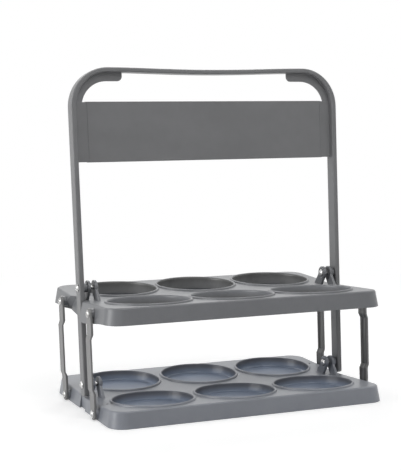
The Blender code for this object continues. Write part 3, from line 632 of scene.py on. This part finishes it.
def carved_mesh(name, mesh, steps):
    """A mesh after a row of joins and cuts, each an operation and a mesh."""
    item = new_object(name, mesh)
    tools = []
    for operation, shape in steps:
        tools.append(new_object(shape.name, shape))
        modifier = item.modifiers.new(shape.name, "BOOLEAN")
        modifier.operation = operation
        modifier.solver = "EXACT"
        modifier.object = tools[-1]
    bpy.context.view_layer.update()
    result = bpy.data.meshes.new_from_object(item.evaluated_get(bpy.context.evaluated_depsgraph_get()))
    result.name = name
    for spent in tools + [item]:
        bpy.data.objects.remove(spent, do_unlink=True)
    work = bmesh.new()
    work.from_mesh(result)
    bmesh.ops.remove_doubles(work, verts=work.verts, dist=WELD)
    bmesh.ops.recalc_face_normals(work, faces=work.faces)
    work.to_mesh(result)
    work.free()
    return result


def bottle_places():
    """Where each bottle place is on a tray."""
    places = []
    for row in range(ROWS):
        for column in range(COLUMNS):
            x = (column - (COLUMNS - 1) / 2) * PITCH_X
            y = (row - (ROWS - 1) / 2) * PITCH_Y
            places.append(Matrix.Translation((x, y, 0)))
    return places


def lip_outside(radius):
    """Profile of a lip's crest and rounded outer side, down into the deck."""
    side = (LIP_WIDTH - LIP_CREST) / 2
    return arc((radius + LIP_WIDTH - side, -DECK / 2), (side, LIP_HEIGHT + DECK / 2), 90, 0, LIP_STEPS)


def lip_inside(radius):
    """Profile of a lip's rounded inner side, seen from inside the opening."""
    side = (LIP_WIDTH - LIP_CREST) / 2
    turn = arc((radius + side, -DECK / 2), (side, LIP_HEIGHT + DECK / 2), 90, 180, LIP_STEPS)
    return [(radius + side, LIP_HEIGHT + OVERRUN)] + turn


def collar_mesh():
    """A solid plug with the outside of a hole's lip and collar."""
    outer = HOLE_RADIUS + WALL
    profile = [(0, LIP_HEIGHT)] + lip_outside(HOLE_RADIUS)
    profile += [(outer, -DECK / 2), (outer, -COLLAR_DEPTH), (0, -COLLAR_DEPTH)]
    return turned_mesh("collar", profile)


def hole_mesh():
    """The space inside a hole, its lip and its collar."""
    bottom = -COLLAR_DEPTH - OVERRUN
    profile = [(0, LIP_HEIGHT + OVERRUN)] + lip_inside(HOLE_RADIUS)
    profile += [(HOLE_RADIUS, bottom), (0, bottom)]
    return turned_mesh("hole", profile)


def cup_body_mesh():
    """A solid plug with the outside of a cup and its lip."""
    outer = CUP_RADIUS + WALL
    bottom = -CUP_DEPTH - DECK
    low = outer - CUP_TAPER
    profile = [(0, LIP_HEIGHT)] + lip_outside(CUP_RADIUS) + [(outer, -DECK / 2)]
    profile += arc((low - CUP_FILLET, bottom + CUP_FILLET), (CUP_FILLET, CUP_FILLET), 0, -90, 5)
    return turned_mesh("cup_body", profile + [(0, bottom)])


def cup_space_mesh():
    """The space inside a cup, with a fillet round its floor."""
    floor = CUP_RADIUS - CUP_TAPER
    profile = [(0, LIP_HEIGHT + OVERRUN)] + lip_inside(CUP_RADIUS)
    profile += arc((floor - CUP_FILLET, CUP_FILLET - CUP_DEPTH), (CUP_FILLET, CUP_FILLET), 0, -90, 7)
    return turned_mesh("cup_space", profile + [(0, -CUP_DEPTH)])


def tray_box_mesh(name, length, depth, bottom, corner, edge):
    """A box up to the deck with draft, round corners and a round top edge."""
    work = bmesh.new()
    ceiling = 0 if edge else -DECK
    work.from_mesh(box_mesh(name, (-length / 2, -depth / 2, bottom), (length / 2, depth / 2, ceiling)))
    top = max(vert.co.z for vert in work.verts)
    lean_in(work, -TRAY_HEIGHT, (0, 1))
    upright = [line for line in work.edges if abs(line.verts[0].co.z - line.verts[1].co.z) > WELD]
    bmesh.ops.bevel(work, geom=upright, offset=corner, segments=CORNER_STEPS, profile=0.5, affect="EDGES")
    if edge:
        brink = [line for line in work.edges if all(abs(vert.co.z - top) < WELD for vert in line.verts)]
        bmesh.ops.bevel(work, geom=brink, offset=edge, segments=EDGE_STEPS, profile=0.5, affect="EDGES")
    return made_mesh(name, work)


def rib_mesh(name, half_x, half_y, bottom, axis):
    """A rib under the deck that meets the drafted walls at both its ends."""
    work = bmesh.new()
    work.from_mesh(box_mesh(name, (-half_x, -half_y, bottom), (half_x, half_y, -DECK / 2)))
    lean_in(work, -TRAY_HEIGHT, (axis,))
    return made_mesh(name, work)


def tray_ribs(bottom):
    """Joins for the ribs under a deck: one along the tray, and one between columns."""
    along = rib_mesh("rib_along", END_FACE - WALL / 2, RIB / 2, bottom, 0)
    across = rib_mesh("rib_across", RIB / 2, TRAY_DEPTH / 2 - WALL / 2, bottom, 1)
    between = [(column + 1 - COLUMNS / 2) * PITCH_X for column in range(COLUMNS - 1)]
    places = [Matrix.Translation((x, 0, 0)) for x in between]
    return [("UNION", along), ("UNION", copied_mesh("ribs_across", across, places))]


def bent_mesh(mesh):
    """Bend a flat tray down to the line between its rows, with its rim left level."""
    work = bmesh.new()
    work.from_mesh(mesh)
    bmesh.ops.triangulate(work, faces=work.faces)
    everything = work.verts[:] + work.edges[:] + work.faces[:]
    bmesh.ops.bisect_plane(work, geom=everything, dist=WELD, plane_co=(0, 0, 0), plane_no=(0, 1, 0))
    bmesh.ops.triangulate(work, faces=work.faces)
    for vert in work.verts:
        share = (vert.co.z + TRAY_HEIGHT) / (TRAY_HEIGHT - DECK)
        vert.co.z += min(max(share, 0), 1) * (abs(vert.co.y) * math.tan(DECK_TILT) - VALLEY_DROP)
    return made_mesh(mesh.name, work)


def both_legs(mesh):
    """A mesh at the leg pivot's height, at both ends of a tray."""
    place = Matrix.Translation((0, 0, LEG_PIVOT_RISE))
    return copied_mesh(mesh.name, mesh, [place, OTHER_END @ place])


def four_links(mesh):
    """A mesh at a tray's four link pivots."""
    matrices = []
    for side in BOTH_ENDS:
        for sign in (1, -1):
            matrices.append(side @ Matrix.Translation((0, sign * LINK_PIVOT_Y, -LINK_PIVOT_DROP)))
    return copied_mesh(mesh.name, mesh, matrices)


def ear_mesh(name, lean, outer, inner):
    """The ears of both ends with one lean, each a finger from the deck up round the pivot."""
    foot = -VALLEY_DROP - DECK / 2
    outline = arc((0, LEG_PIVOT_RISE), (EAR_RADIUS, EAR_RADIUS), -EAR_WRAP, 180 + EAR_WRAP, 20)
    outline += [(lean - EAR_FOOT / 2, foot), (lean + EAR_FOOT / 2, foot)]
    mesh = plate_mesh(name, outline, outer - inner)
    mesh.transform(TO_SIDE @ Matrix.Translation((0, 0, (outer + inner) / 2)))
    return copied_mesh(name, mesh, BOTH_TURNS)


def collar_ring_mesh():
    """A low round-edged ring on each far ear, about its pin's inner head."""
    low, high = COLLAR_RING
    half = (high - low) / 2
    profile = arc(((low + high) / 2, 0), (half, COLLAR_RING_HEIGHT), 0, 180, 6)
    profile += [(low, -EAR_SPACE / 2), (high, -EAR_SPACE / 2)]
    mesh = turned_mesh("collar_ring", profile, 2 * PIVOT_STEPS)
    mesh.transform(Matrix.Translation((FAR_EAR_INNER, 0, 0)) @ UP_TO_OUT.inverted())
    return both_legs(mesh)


def fittings():
    """Joins and cuts for the crossed ears, the links' bosses and all their bores."""
    hub_start = NEAR_EAR_OUTER - NEAR_EAR_THICKNESS / 2
    hub_end = NEAR_EAR_OUTER + EAR_BOSS_HEIGHT
    shapes = [
        ear_mesh("near_ears", -EAR_LEAN, NEAR_EAR_OUTER, NEAR_EAR_INNER),
        ear_mesh("far_ears", EAR_LEAN, FAR_EAR_OUTER, FAR_EAR_INNER),
        both_legs(rod_mesh("ear_hubs", EAR_BOSS_RADIUS, hub_start, hub_end)),
        collar_ring_mesh(),
        four_links(rod_mesh("link_bosses", BOSS_RADIUS, BACKING, LINK_INNER - GAP)),
    ]
    pins = both_legs(rod_mesh("pin_bores", PIN_RADIUS + GAP, FAR_EAR_INNER - OVERRUN, hub_end + OVERRUN))
    rivets = four_links(rod_mesh("rivet_bores", RIVET_RADIUS + GAP, BACKING - OVERRUN, LINK_INNER + OVERRUN))
    return [("UNION", shape) for shape in shapes] + [("DIFFERENCE", pins), ("DIFFERENCE", rivets)]


def gate_marks():
    """A cut for the small round dimples where the plastic was fed into the mould."""
    mark = rod_mesh("gate_marks", GATE_RADIUS, -OVERRUN, GATE_DEPTH)
    mark.transform(Matrix.Translation((GATE_X, GATE_Y, 0)) @ UP_TO_OUT)
    return ("DIFFERENCE", copied_mesh("gate_marks", mark, BOTH_TURNS))


def shell_mesh(name, bottom):
    """A hollow tray with round corners and edges, open below."""
    outside = tray_box_mesh(name, TRAY_LENGTH, TRAY_DEPTH, bottom, CORNER_RADIUS, EDGE_ROUND)
    length = TRAY_LENGTH - 2 * WALL
    depth = TRAY_DEPTH - 2 * WALL
    inside = tray_box_mesh(name + "_inside", length, depth, bottom - OVERRUN, CORNER_RADIUS - WALL, 0)
    return outside, ("DIFFERENCE", inside)


def lower_tray_mesh():
    """The base tray: six dished cups, a flat rim and leg grooves."""
    rim = -TRAY_HEIGHT
    outside, hollow = shell_mesh("lower_tray_fine", rim)
    pad = rod_mesh("base_pad", BASE_PAD_RADIUS, DECK / 2, TRAY_HEIGHT, RING_STEPS // 2)
    pad.transform(UP_TO_OUT)
    floor = END_FACE - GROOVE_DEPTH
    reach = POCKET_FRONT + WALL
    backing = box_mesh("groove_backs", (floor - WALL, -reach, rim), (floor, reach, -DECK / 2))
    groove = box_mesh(
        "leg_grooves", (floor, -POCKET_FRONT, rim - OVERRUN), (END_FACE + OVERRUN, POCKET_FRONT, OVERRUN)
    )
    steps = [hollow, ("UNION", copied_mesh("cup_bodies", cup_body_mesh(), bottle_places()))]
    steps += tray_ribs(rim) + [("UNION", pad)]
    steps.append(("DIFFERENCE", copied_mesh("cup_spaces", cup_space_mesh(), bottle_places())))
    steps.append(("UNION", copied_mesh("groove_backs", backing, BOTH_ENDS)))
    steps += [("DIFFERENCE", copied_mesh("leg_grooves", groove, BOTH_ENDS)), gate_marks()]
    return bent_mesh(carved_mesh("lower_tray_fine", outside, steps))


def leg_sweep(height):
    """How far back a leg reaches at a height beside a tray, at the fold's limit."""
    depth = LEG_PIVOT_RISE - height
    return depth * math.tan(LEG_TURN) + LEG_WIDTH / 2 / math.cos(LEG_TURN) + POCKET_CLEARANCE


def pocket_mesh(name, floor, inset, grow, top, bottom):
    """The swept space of a folding leg beside the tray, with a ramp up to the wall."""
    loops = []
    for z in (top, bottom):
        outside = END_FACE - (z + TRAY_HEIGHT) * math.tan(DRAFT) - inset
        ramp = POCKET_RAMP * (outside - floor) / (END_FACE - POCKET_FLOOR)
        front = -POCKET_FRONT - grow
        back = leg_sweep(z) + grow
        loops.append([(floor, front, z), (outside, front, z), (outside, back + ramp, z), (floor, back, z)])
    mesh = skin_mesh(name, loops)
    return copied_mesh(name, mesh, BOTH_ENDS)


def smooth_drop(start, end):
    """Points of a rim that drops smoothly between two (Y, Z) places."""
    points = []
    for step in range(RIM_STEPS + 1):
        share = step / RIM_STEPS
        ease = share + (share * share * (3 - 2 * share) - share) * RIM_EASE
        points.append((start[0] + (end[0] - start[0]) * share, start[1] + (end[1] - start[1]) * ease))
    return points


def rim_trim_mesh():
    """Everything below the upper tray's rim, which drops gently round each leg."""
    reach = TRAY_DEPTH / 2 + OVERRUN
    rim = -TRAY_HEIGHT
    drop = rim - APRON_DROP
    deep = drop - 2 * OVERRUN
    outline = [(-reach, rim)] + smooth_drop((-APRON_FRONT - APRON_FRONT_SLOPE, rim), (-APRON_FRONT, drop))
    outline += smooth_drop((APRON_BACK, drop), (APRON_BACK + APRON_BACK_SLOPE, rim))
    outline += [(reach, rim), (reach, deep), (-reach, deep)]
    far = TRAY_LENGTH / 2 + OVERRUN
    return skin_mesh("rim_trim", [[(x, y, z) for y, z in outline] for x in (-far, far)])


def upper_tray_mesh():
    """The guide tray: six open holes with collars, and pockets for the legs."""
    deep = -TRAY_HEIGHT - APRON_DROP - OVERRUN
    outside, hollow = shell_mesh("upper_tray_fine", deep)
    steps = [hollow, ("UNION", copied_mesh("collars", collar_mesh(), bottle_places()))]
    steps += tray_ribs(-UPPER_RIB_DEPTH)
    steps.append(("DIFFERENCE", copied_mesh("holes", hole_mesh(), bottle_places())))
    steps.append(("UNION", pocket_mesh("pocket_backs", BACKING, WALL / 2, WALL, -DECK / 2, deep + GAP)))
    steps.append(("DIFFERENCE", pocket_mesh("pockets", POCKET_FLOOR, -OVERRUN, 0, OVERRUN, deep - OVERRUN)))
    steps.append(("DIFFERENCE", rim_trim_mesh()))
    return bent_mesh(carved_mesh("upper_tray_fine", outside, steps))


def grip_height(x):
    """Height of the grip's top at a place along it: a shallow dip between the corners."""
    share = min(abs(x) / CORNER_X, 1)
    return HANDLE_RISE - GRIP_DIP * (1 - share * share) ** 2


def band_section(outer, inner, width):
    """A loop round the band between its outer and inner points, with rounded edges."""
    outer = Vector((outer[0], 0, outer[1]))
    across = Vector((inner[0], 0, inner[1])) - outer
    thickness = across.length
    across.normalize()
    edge = min(BAND_EDGE, thickness * BAND_EDGE_MOST[0], width * BAND_EDGE_MOST[1])
    loop = []
    reach = width - edge
    corners = ((thickness - edge, reach), (edge, reach), (edge, -reach), (thickness - edge, -reach))
    for quarter, centre in enumerate(corners):
        for depth, side in arc(centre, (edge, edge), 90 * quarter, 90 * quarter + 90, 4):
            loop.append(outer + across * depth + Vector((0, side, 0)))
    return loop


def handle_band_mesh():
    """Both legs, the round corners and the dipped grip as one band."""
    half_width = LEG_WIDTH / 2
    rows = []
    widest = math.degrees(math.asin(half_width / LEG_END_REACH))
    for down, side in arc((0, 0), (-LEG_END_REACH, LEG_END_REACH), LEG_END_START, widest, LEG_END_STEPS):
        rows.append(((-LEG_OUTER, down), (-LEG_INNER, down), side))
    outer = arc((-CORNER_X, CORNER_Z), (HANDLE_CORNER, HANDLE_CORNER), 180, 90, CURVE_STEPS)
    radii = (HANDLE_CORNER - LEG_THICKNESS, HANDLE_CORNER - GRIP_THICKNESS)
    inner = arc((-CORNER_X, CORNER_Z), radii, 180, 90, CURVE_STEPS)
    rows += [(out, into, half_width) for out, into in zip(outer, inner)]
    for step in range(1, GRIP_STEPS + 1):
        x = CORNER_X * (step / GRIP_STEPS - 1)
        rows.append(((x, grip_height(x)), (x, grip_height(x) - GRIP_THICKNESS), half_width))
    flip = [((-out[0], out[1]), (-into[0], into[1]), width) for out, into, width in reversed(rows[:-1])]
    return skin_mesh("handle_band", [band_section(*row) for row in rows + flip])


def web_mesh():
    """The two corner webs: beside the panel, round the corner and along the grip."""
    inner = (HANDLE_CORNER - LEG_THICKNESS - WEB_SIDE_WIDTH, HANDLE_CORNER - GRIP_THICKNESS - WEB_WIDTH)
    seat = LEG_THICKNESS / 2
    low = CORNER_Z + inner[1]
    tip = CORNER_X - WEB_REACH
    foot = PANEL_TOP - WEB_SIDE_WIDTH
    points = [(LEG_INNER + seat, foot)]
    points += arc((CORNER_X, CORNER_Z), (HANDLE_CORNER - seat, HANDLE_CORNER - seat), 0, 90, CURVE_STEPS)
    points.append((tip, CORNER_Z + HANDLE_CORNER - seat - GRIP_DIP))
    points += arc((tip + WEB_END_ROUND, low + WEB_END_ROUND), (WEB_END_ROUND, WEB_END_ROUND), 180, 270, 8)
    points += arc((CORNER_X, CORNER_Z), inner, 90, 0, CURVE_STEPS)
    points.append((LEG_INNER - WEB_SIDE_WIDTH, foot))
    mesh = plate_mesh("handle_webs", points, WEB_THICKNESS)
    mesh.transform(TO_FRONT)
    return copied_mesh("handle_webs", mesh, BOTH_ENDS)


def panel_plate_mesh():
    """The thin plate of the panel, which reaches into both legs."""
    reach = LEG_INNER + LEG_THICKNESS / 2
    low, high = PANEL_BOTTOM + PANEL_EDGE, PANEL_TOP - PANEL_EDGE
    outline = [(-reach, low), (reach, low), (reach, high), (-reach, high)]
    mesh = plate_mesh("panel_plate", outline, PANEL_STRIP_THICKNESS)
    mesh.transform(TO_FRONT)
    return mesh


def panel_face_mesh():
    """The thick middle of the panel, whose two ends slope down to its end strips."""
    face = LEG_INNER - PANEL_STRIP
    half = [(-face - PANEL_STEP, 0), (-face, PANEL_THICKNESS / 2), (face, PANEL_THICKNESS / 2)]
    mesh = plate_mesh("panel_face", half + [(-x, -y) for x, y in half], PANEL_TOP - PANEL_BOTTOM)
    mesh.transform(Matrix.Translation((0, 0, (PANEL_TOP + PANEL_BOTTOM) / 2)))
    return mesh


def handle_mesh():
    """The whole handle frame, upright with its origin between the lower pivots."""
    bore = rod_mesh("pin_bore", PIN_RADIUS + GAP, -LEG_OUTER - OVERRUN, LEG_OUTER + OVERRUN)
    bores = copied_mesh("handle_bores", bore, [Matrix.Identity(4), Matrix.Translation((0, 0, ARM_LENGTH))])
    shapes = [web_mesh(), panel_plate_mesh(), panel_face_mesh()]
    steps = [("UNION", shape) for shape in shapes] + [("DIFFERENCE", bores)]
    return carved_mesh("handle_frame_fine", handle_band_mesh(), steps)


def link_half_width(rise):
    """Half of a link's width at a distance from its middle: straight, tapered, then round."""
    half = LINK_WIDTH / 2
    knee = LINK_HALF - LINK_TAPER
    spread = math.atan2(half - LINK_END_RADIUS, LINK_TAPER)
    touch = LINK_HALF + LINK_END_RADIUS * math.sin(spread)
    if rise <= knee:
        return half
    if rise <= touch:
        share = (rise - knee) / (touch - knee)
        return half + share * (LINK_END_RADIUS * math.cos(spread) - half)
    return math.sqrt(LINK_END_RADIUS ** 2 - (rise - LINK_HALF) ** 2)


def link_section(up):
    """A loop round a link at a height from its middle, with its channel inside."""
    rise = abs(up)
    bend = LINK_HALF - LINK_FLAT - LINK_JOGGLE_RUN
    share = min(max((rise - bend) / LINK_JOGGLE_RUN, 0), 1)
    inner = LINK_INNER + LINK_JOGGLE * (1 - share)
    outer = inner + LINK_THICKNESS + (TAB_THICKNESS - LINK_THICKNESS) * share
    width = link_half_width(rise)
    depth = CHANNEL_DEPTH if rise < bend else 0
    channel = min(CHANNEL_WIDTH / 2, width * CHANNEL_MOST)
    slant = GAP if depth else 0
    edge = min(LINK_EDGE, width * LINK_EDGE_MOST)
    side = width - edge
    loop = arc((side, outer - edge), (edge, edge), 0, 90, 3)
    loop += arc((-side, outer - edge), (edge, edge), 90, 180, 3)
    loop += arc((-side, inner + edge), (edge, edge), 180, 270, 2)
    loop += [(-channel - slant, inner), (-channel, inner + depth)]
    loop += [(channel, inner + depth), (channel + slant, inner)]
    loop += arc((side, inner + edge), (edge, edge), 270, 360, 2)
    return [(x, y, up) for y, x in loop]


def link_mesh():
    """One link of the +X end, its origin on the lower pivot."""
    bend = LINK_HALF - LINK_FLAT - LINK_JOGGLE_RUN
    spread = math.atan2(LINK_WIDTH / 2 - LINK_END_RADIUS, LINK_TAPER)
    rises = [0, bend / 2, bend - CHANNEL_END, bend - WELD, bend + CHANNEL_END / 2]
    rises += [bend + LINK_JOGGLE_RUN * share for share in LINK_JOGGLE_RINGS]
    rises += [LINK_HALF - LINK_TAPER, LINK_HALF - LINK_TAPER / 2]
    for step in range(LINK_END_STEPS + 1):
        angle = spread + (LINK_LAST_ANGLE - spread) * step / LINK_END_STEPS
        rises.append(LINK_HALF + LINK_END_RADIUS * math.sin(angle))
    heights = [-rise for rise in rises[:0:-1]] + rises
    strip = skin_mesh("link_strip", [link_section(height) for height in heights])
    bore = rod_mesh("link_bore", RIVET_RADIUS + GAP, LINK_INNER - OVERRUN, LINK_OUTER + OVERRUN)
    places = [Matrix.Translation((0, 0, side * LINK_HALF)) for side in (1, -1)]
    mesh = carved_mesh("link_fine", strip, [("DIFFERENCE", copied_mesh("link_bores", bore, places))])
    mesh.transform(Matrix.Translation((0, 0, LINK_HALF)))
    return mesh


def dome(size, top, dimple):
    """Profile of a domed head with a small centre mark, from its crown to its rim."""
    radius, height = size
    sign = 1 if height > 0 else -1
    mark = [(0, top - sign * dimple), (HEAD_MARK_RADIUS / 2, top - sign * dimple)]
    mark.append((HEAD_MARK_RADIUS, top - sign * dimple / 4))
    shoulder = arc((0, top - height), (radius, height), *HEAD_CURVE, HEAD_STEPS)
    return mark + shoulder + [(radius, top - height * HEAD_RIM), (radius, top - height)]


def fastener_mesh(name, shank, top, bottom, head, tail):
    """A headed pin of the +X end along X: a domed head outside and a domed tail inside."""
    profile = dome(head, top + head[1], HEAD_MARK_DEPTH) + [(shank, top), (shank, bottom)]
    profile += dome((tail[0], -tail[1]), bottom - tail[1], TAIL_MARK_DEPTH)[::-1]
    mesh = turned_mesh(name, profile, PIVOT_STEPS + 4)
    mesh.transform(UP_TO_OUT)
    return mesh


def finish_piece(name, mesh, place, material, body, node):
    """Put a fine piece in its place, over the solid that it stands for."""
    mesh = mesh.copy()
    mesh.transform(place)
    if place.determinant() < 0:
        mesh.flip_normals()
    mesh.materials.clear()
    mesh.materials.append(material)
    mesh.shade_smooth()
    mesh.set_sharp_from_angle(angle=SHARP_ANGLE)
    piece = new_object(name, mesh)
    evened = piece.modifiers.new("even_shading", "WEIGHTED_NORMAL")
    evened.keep_sharp = True
    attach(piece, body)
    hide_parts(node)


def build_trays():
    """Both trays with their ears, bosses and bores."""
    lower = carved_mesh("lower_tray_fine", lower_tray_mesh(), fittings())
    finish_piece("base_tray", lower, LOWER_PLACE, base_plastic, "base", "lower_tray")
    upper = carved_mesh("upper_tray_fine", upper_tray_mesh(), fittings())
    finish_piece("guide_tray", upper, UPPER_PLACE, guide_plastic, "guide", "upper_tray")


def build_links():
    """The four links, leaning with the legs."""
    mesh = link_mesh()
    for side, flip in SIDES:
        for row, sign in LINK_ROWS:
            start = Matrix.Translation((0, sign * LINK_PIVOT_Y, -LINK_PIVOT_DROP))
            place = LOWER_PLACE @ start @ LEANING @ flip
            body = row + "_" + side + "_link"
            node = "link_" + row + "_" + side
            finish_piece(side + "_" + row + "_strap", mesh, place, link_plastic, body, node)


def build_fasteners():
    """The pins through the legs and the rivets through the links."""
    rivet = fastener_mesh(
        "link_rivet", RIVET_RADIUS, LINK_OUTER + GAP, BACKING - GAP, RIVET_HEAD, RIVET_TAIL
    )
    pin = fastener_mesh("leg_pin", PIN_RADIUS, LEG_OUTER + GAP, FAR_EAR_INNER - GAP, PIN_HEAD, PIN_HEAD)
    for level, tray, body in (("lower", LOWER_PLACE, "base"), ("upper", UPPER_PLACE, "guide")):
        for side, flip in SIDES:
            rows = [("leg_pin_" + level + "_" + side, pin, 0, LEG_PIVOT_RISE)]
            for row, sign in LINK_ROWS:
                node = "rivet_" + level + "_" + row + "_" + side
                rows.append((node, rivet, sign * LINK_PIVOT_Y, -LINK_PIVOT_DROP))
            for node, mesh, y, z in rows:
                place = tray @ Matrix.Translation((0, y, z)) @ flip
                finish_piece(node + "_domed", mesh, place, steel, body, node)


def add_camera():
    """The photograph's camera."""
    data = bpy.data.cameras.new("photo_camera")
    data.sensor_fit = "HORIZONTAL"
    data.sensor_width = SENSOR_WIDTH
    data.lens = FOCAL_PIXELS * SENSOR_WIDTH / IMAGE_WIDTH
    data.shift_x = (IMAGE_WIDTH / 2 - PRINCIPAL_X) / IMAGE_WIDTH
    data.shift_y = (PRINCIPAL_Y - IMAGE_HEIGHT / 2) / IMAGE_WIDTH
    data.clip_start = NEAR_CLIP
    ahead = Vector((
        math.sin(CAMERA_AZIMUTH) * math.cos(CAMERA_ELEVATION),
        math.cos(CAMERA_AZIMUTH) * math.cos(CAMERA_ELEVATION),
        -math.sin(CAMERA_ELEVATION),
    ))
    right = Vector((math.cos(CAMERA_AZIMUTH), -math.sin(CAMERA_AZIMUTH), 0))
    up = right.cross(ahead)
    tilted_right = math.cos(CAMERA_ROLL) * right + math.sin(CAMERA_ROLL) * up
    tilted_up = -math.sin(CAMERA_ROLL) * right + math.cos(CAMERA_ROLL) * up
    turn = Matrix((tilted_right, tilted_up, -ahead)).transposed().to_4x4()
    camera = new_object("photo_camera", data)
    camera.matrix_world = Matrix.Translation(CAMERA_PLACE) @ turn
    bpy.context.scene.camera = camera


def add_lamp(name, place, size, power):
    """A soft square lamp that faces the rack."""
    data = bpy.data.lights.new(name, "AREA")
    data.size = size
    data.energy = power
    lamp = new_object(name, data)
    lamp.location = place
    lamp.visible_camera = False
    lamp.rotation_euler = (Vector(LAMP_TARGET) - Vector(place)).to_track_quat("-Z", "Y").to_euler()


def add_floor():
    """A wide pale floor."""
    mesh = bpy.data.meshes.new("floor")
    work = bmesh.new()
    bmesh.ops.create_grid(work, x_segments=1, y_segments=1, size=FLOOR_HALF)
    work.to_mesh(mesh)
    work.free()
    floor = new_object("floor", mesh)
    floor.location = (0, 0, -FLOOR_DROP)
    mesh.materials.append(background("floor_white", FLOOR_COLOUR, *FLOOR_FADE))


def add_world():
    """White behind the rack and in reflections, and an even soft light on it."""
    world = bpy.data.worlds.new("studio")
    tree = Tree(world)
    soft = tree.node("ShaderNodeBackground", {}, {"Color": (1, 1, 1), "Strength": WORLD_GLOW})
    white = tree.node("ShaderNodeBackground", {}, {"Color": (1, 1, 1), "Strength": 1.0})
    surface = tree.node("ShaderNodeMixShader", {}, {0: tree.seen(), 1: soft, 2: white})
    tree.node("ShaderNodeOutputWorld", {}, {"Surface": surface})
    bpy.context.scene.world = world


build_trays()
finish_piece("carrying_handle", handle_mesh(), HANDLE_PLACE, handle_plastic, "handle", "handle_frame")
build_links()
build_fasteners()
add_camera()
add_floor()
add_world()
for lamp_row in LAMPS:
    add_lamp(*lamp_row)
bpy.context.scene.view_settings.view_transform = "Standard"
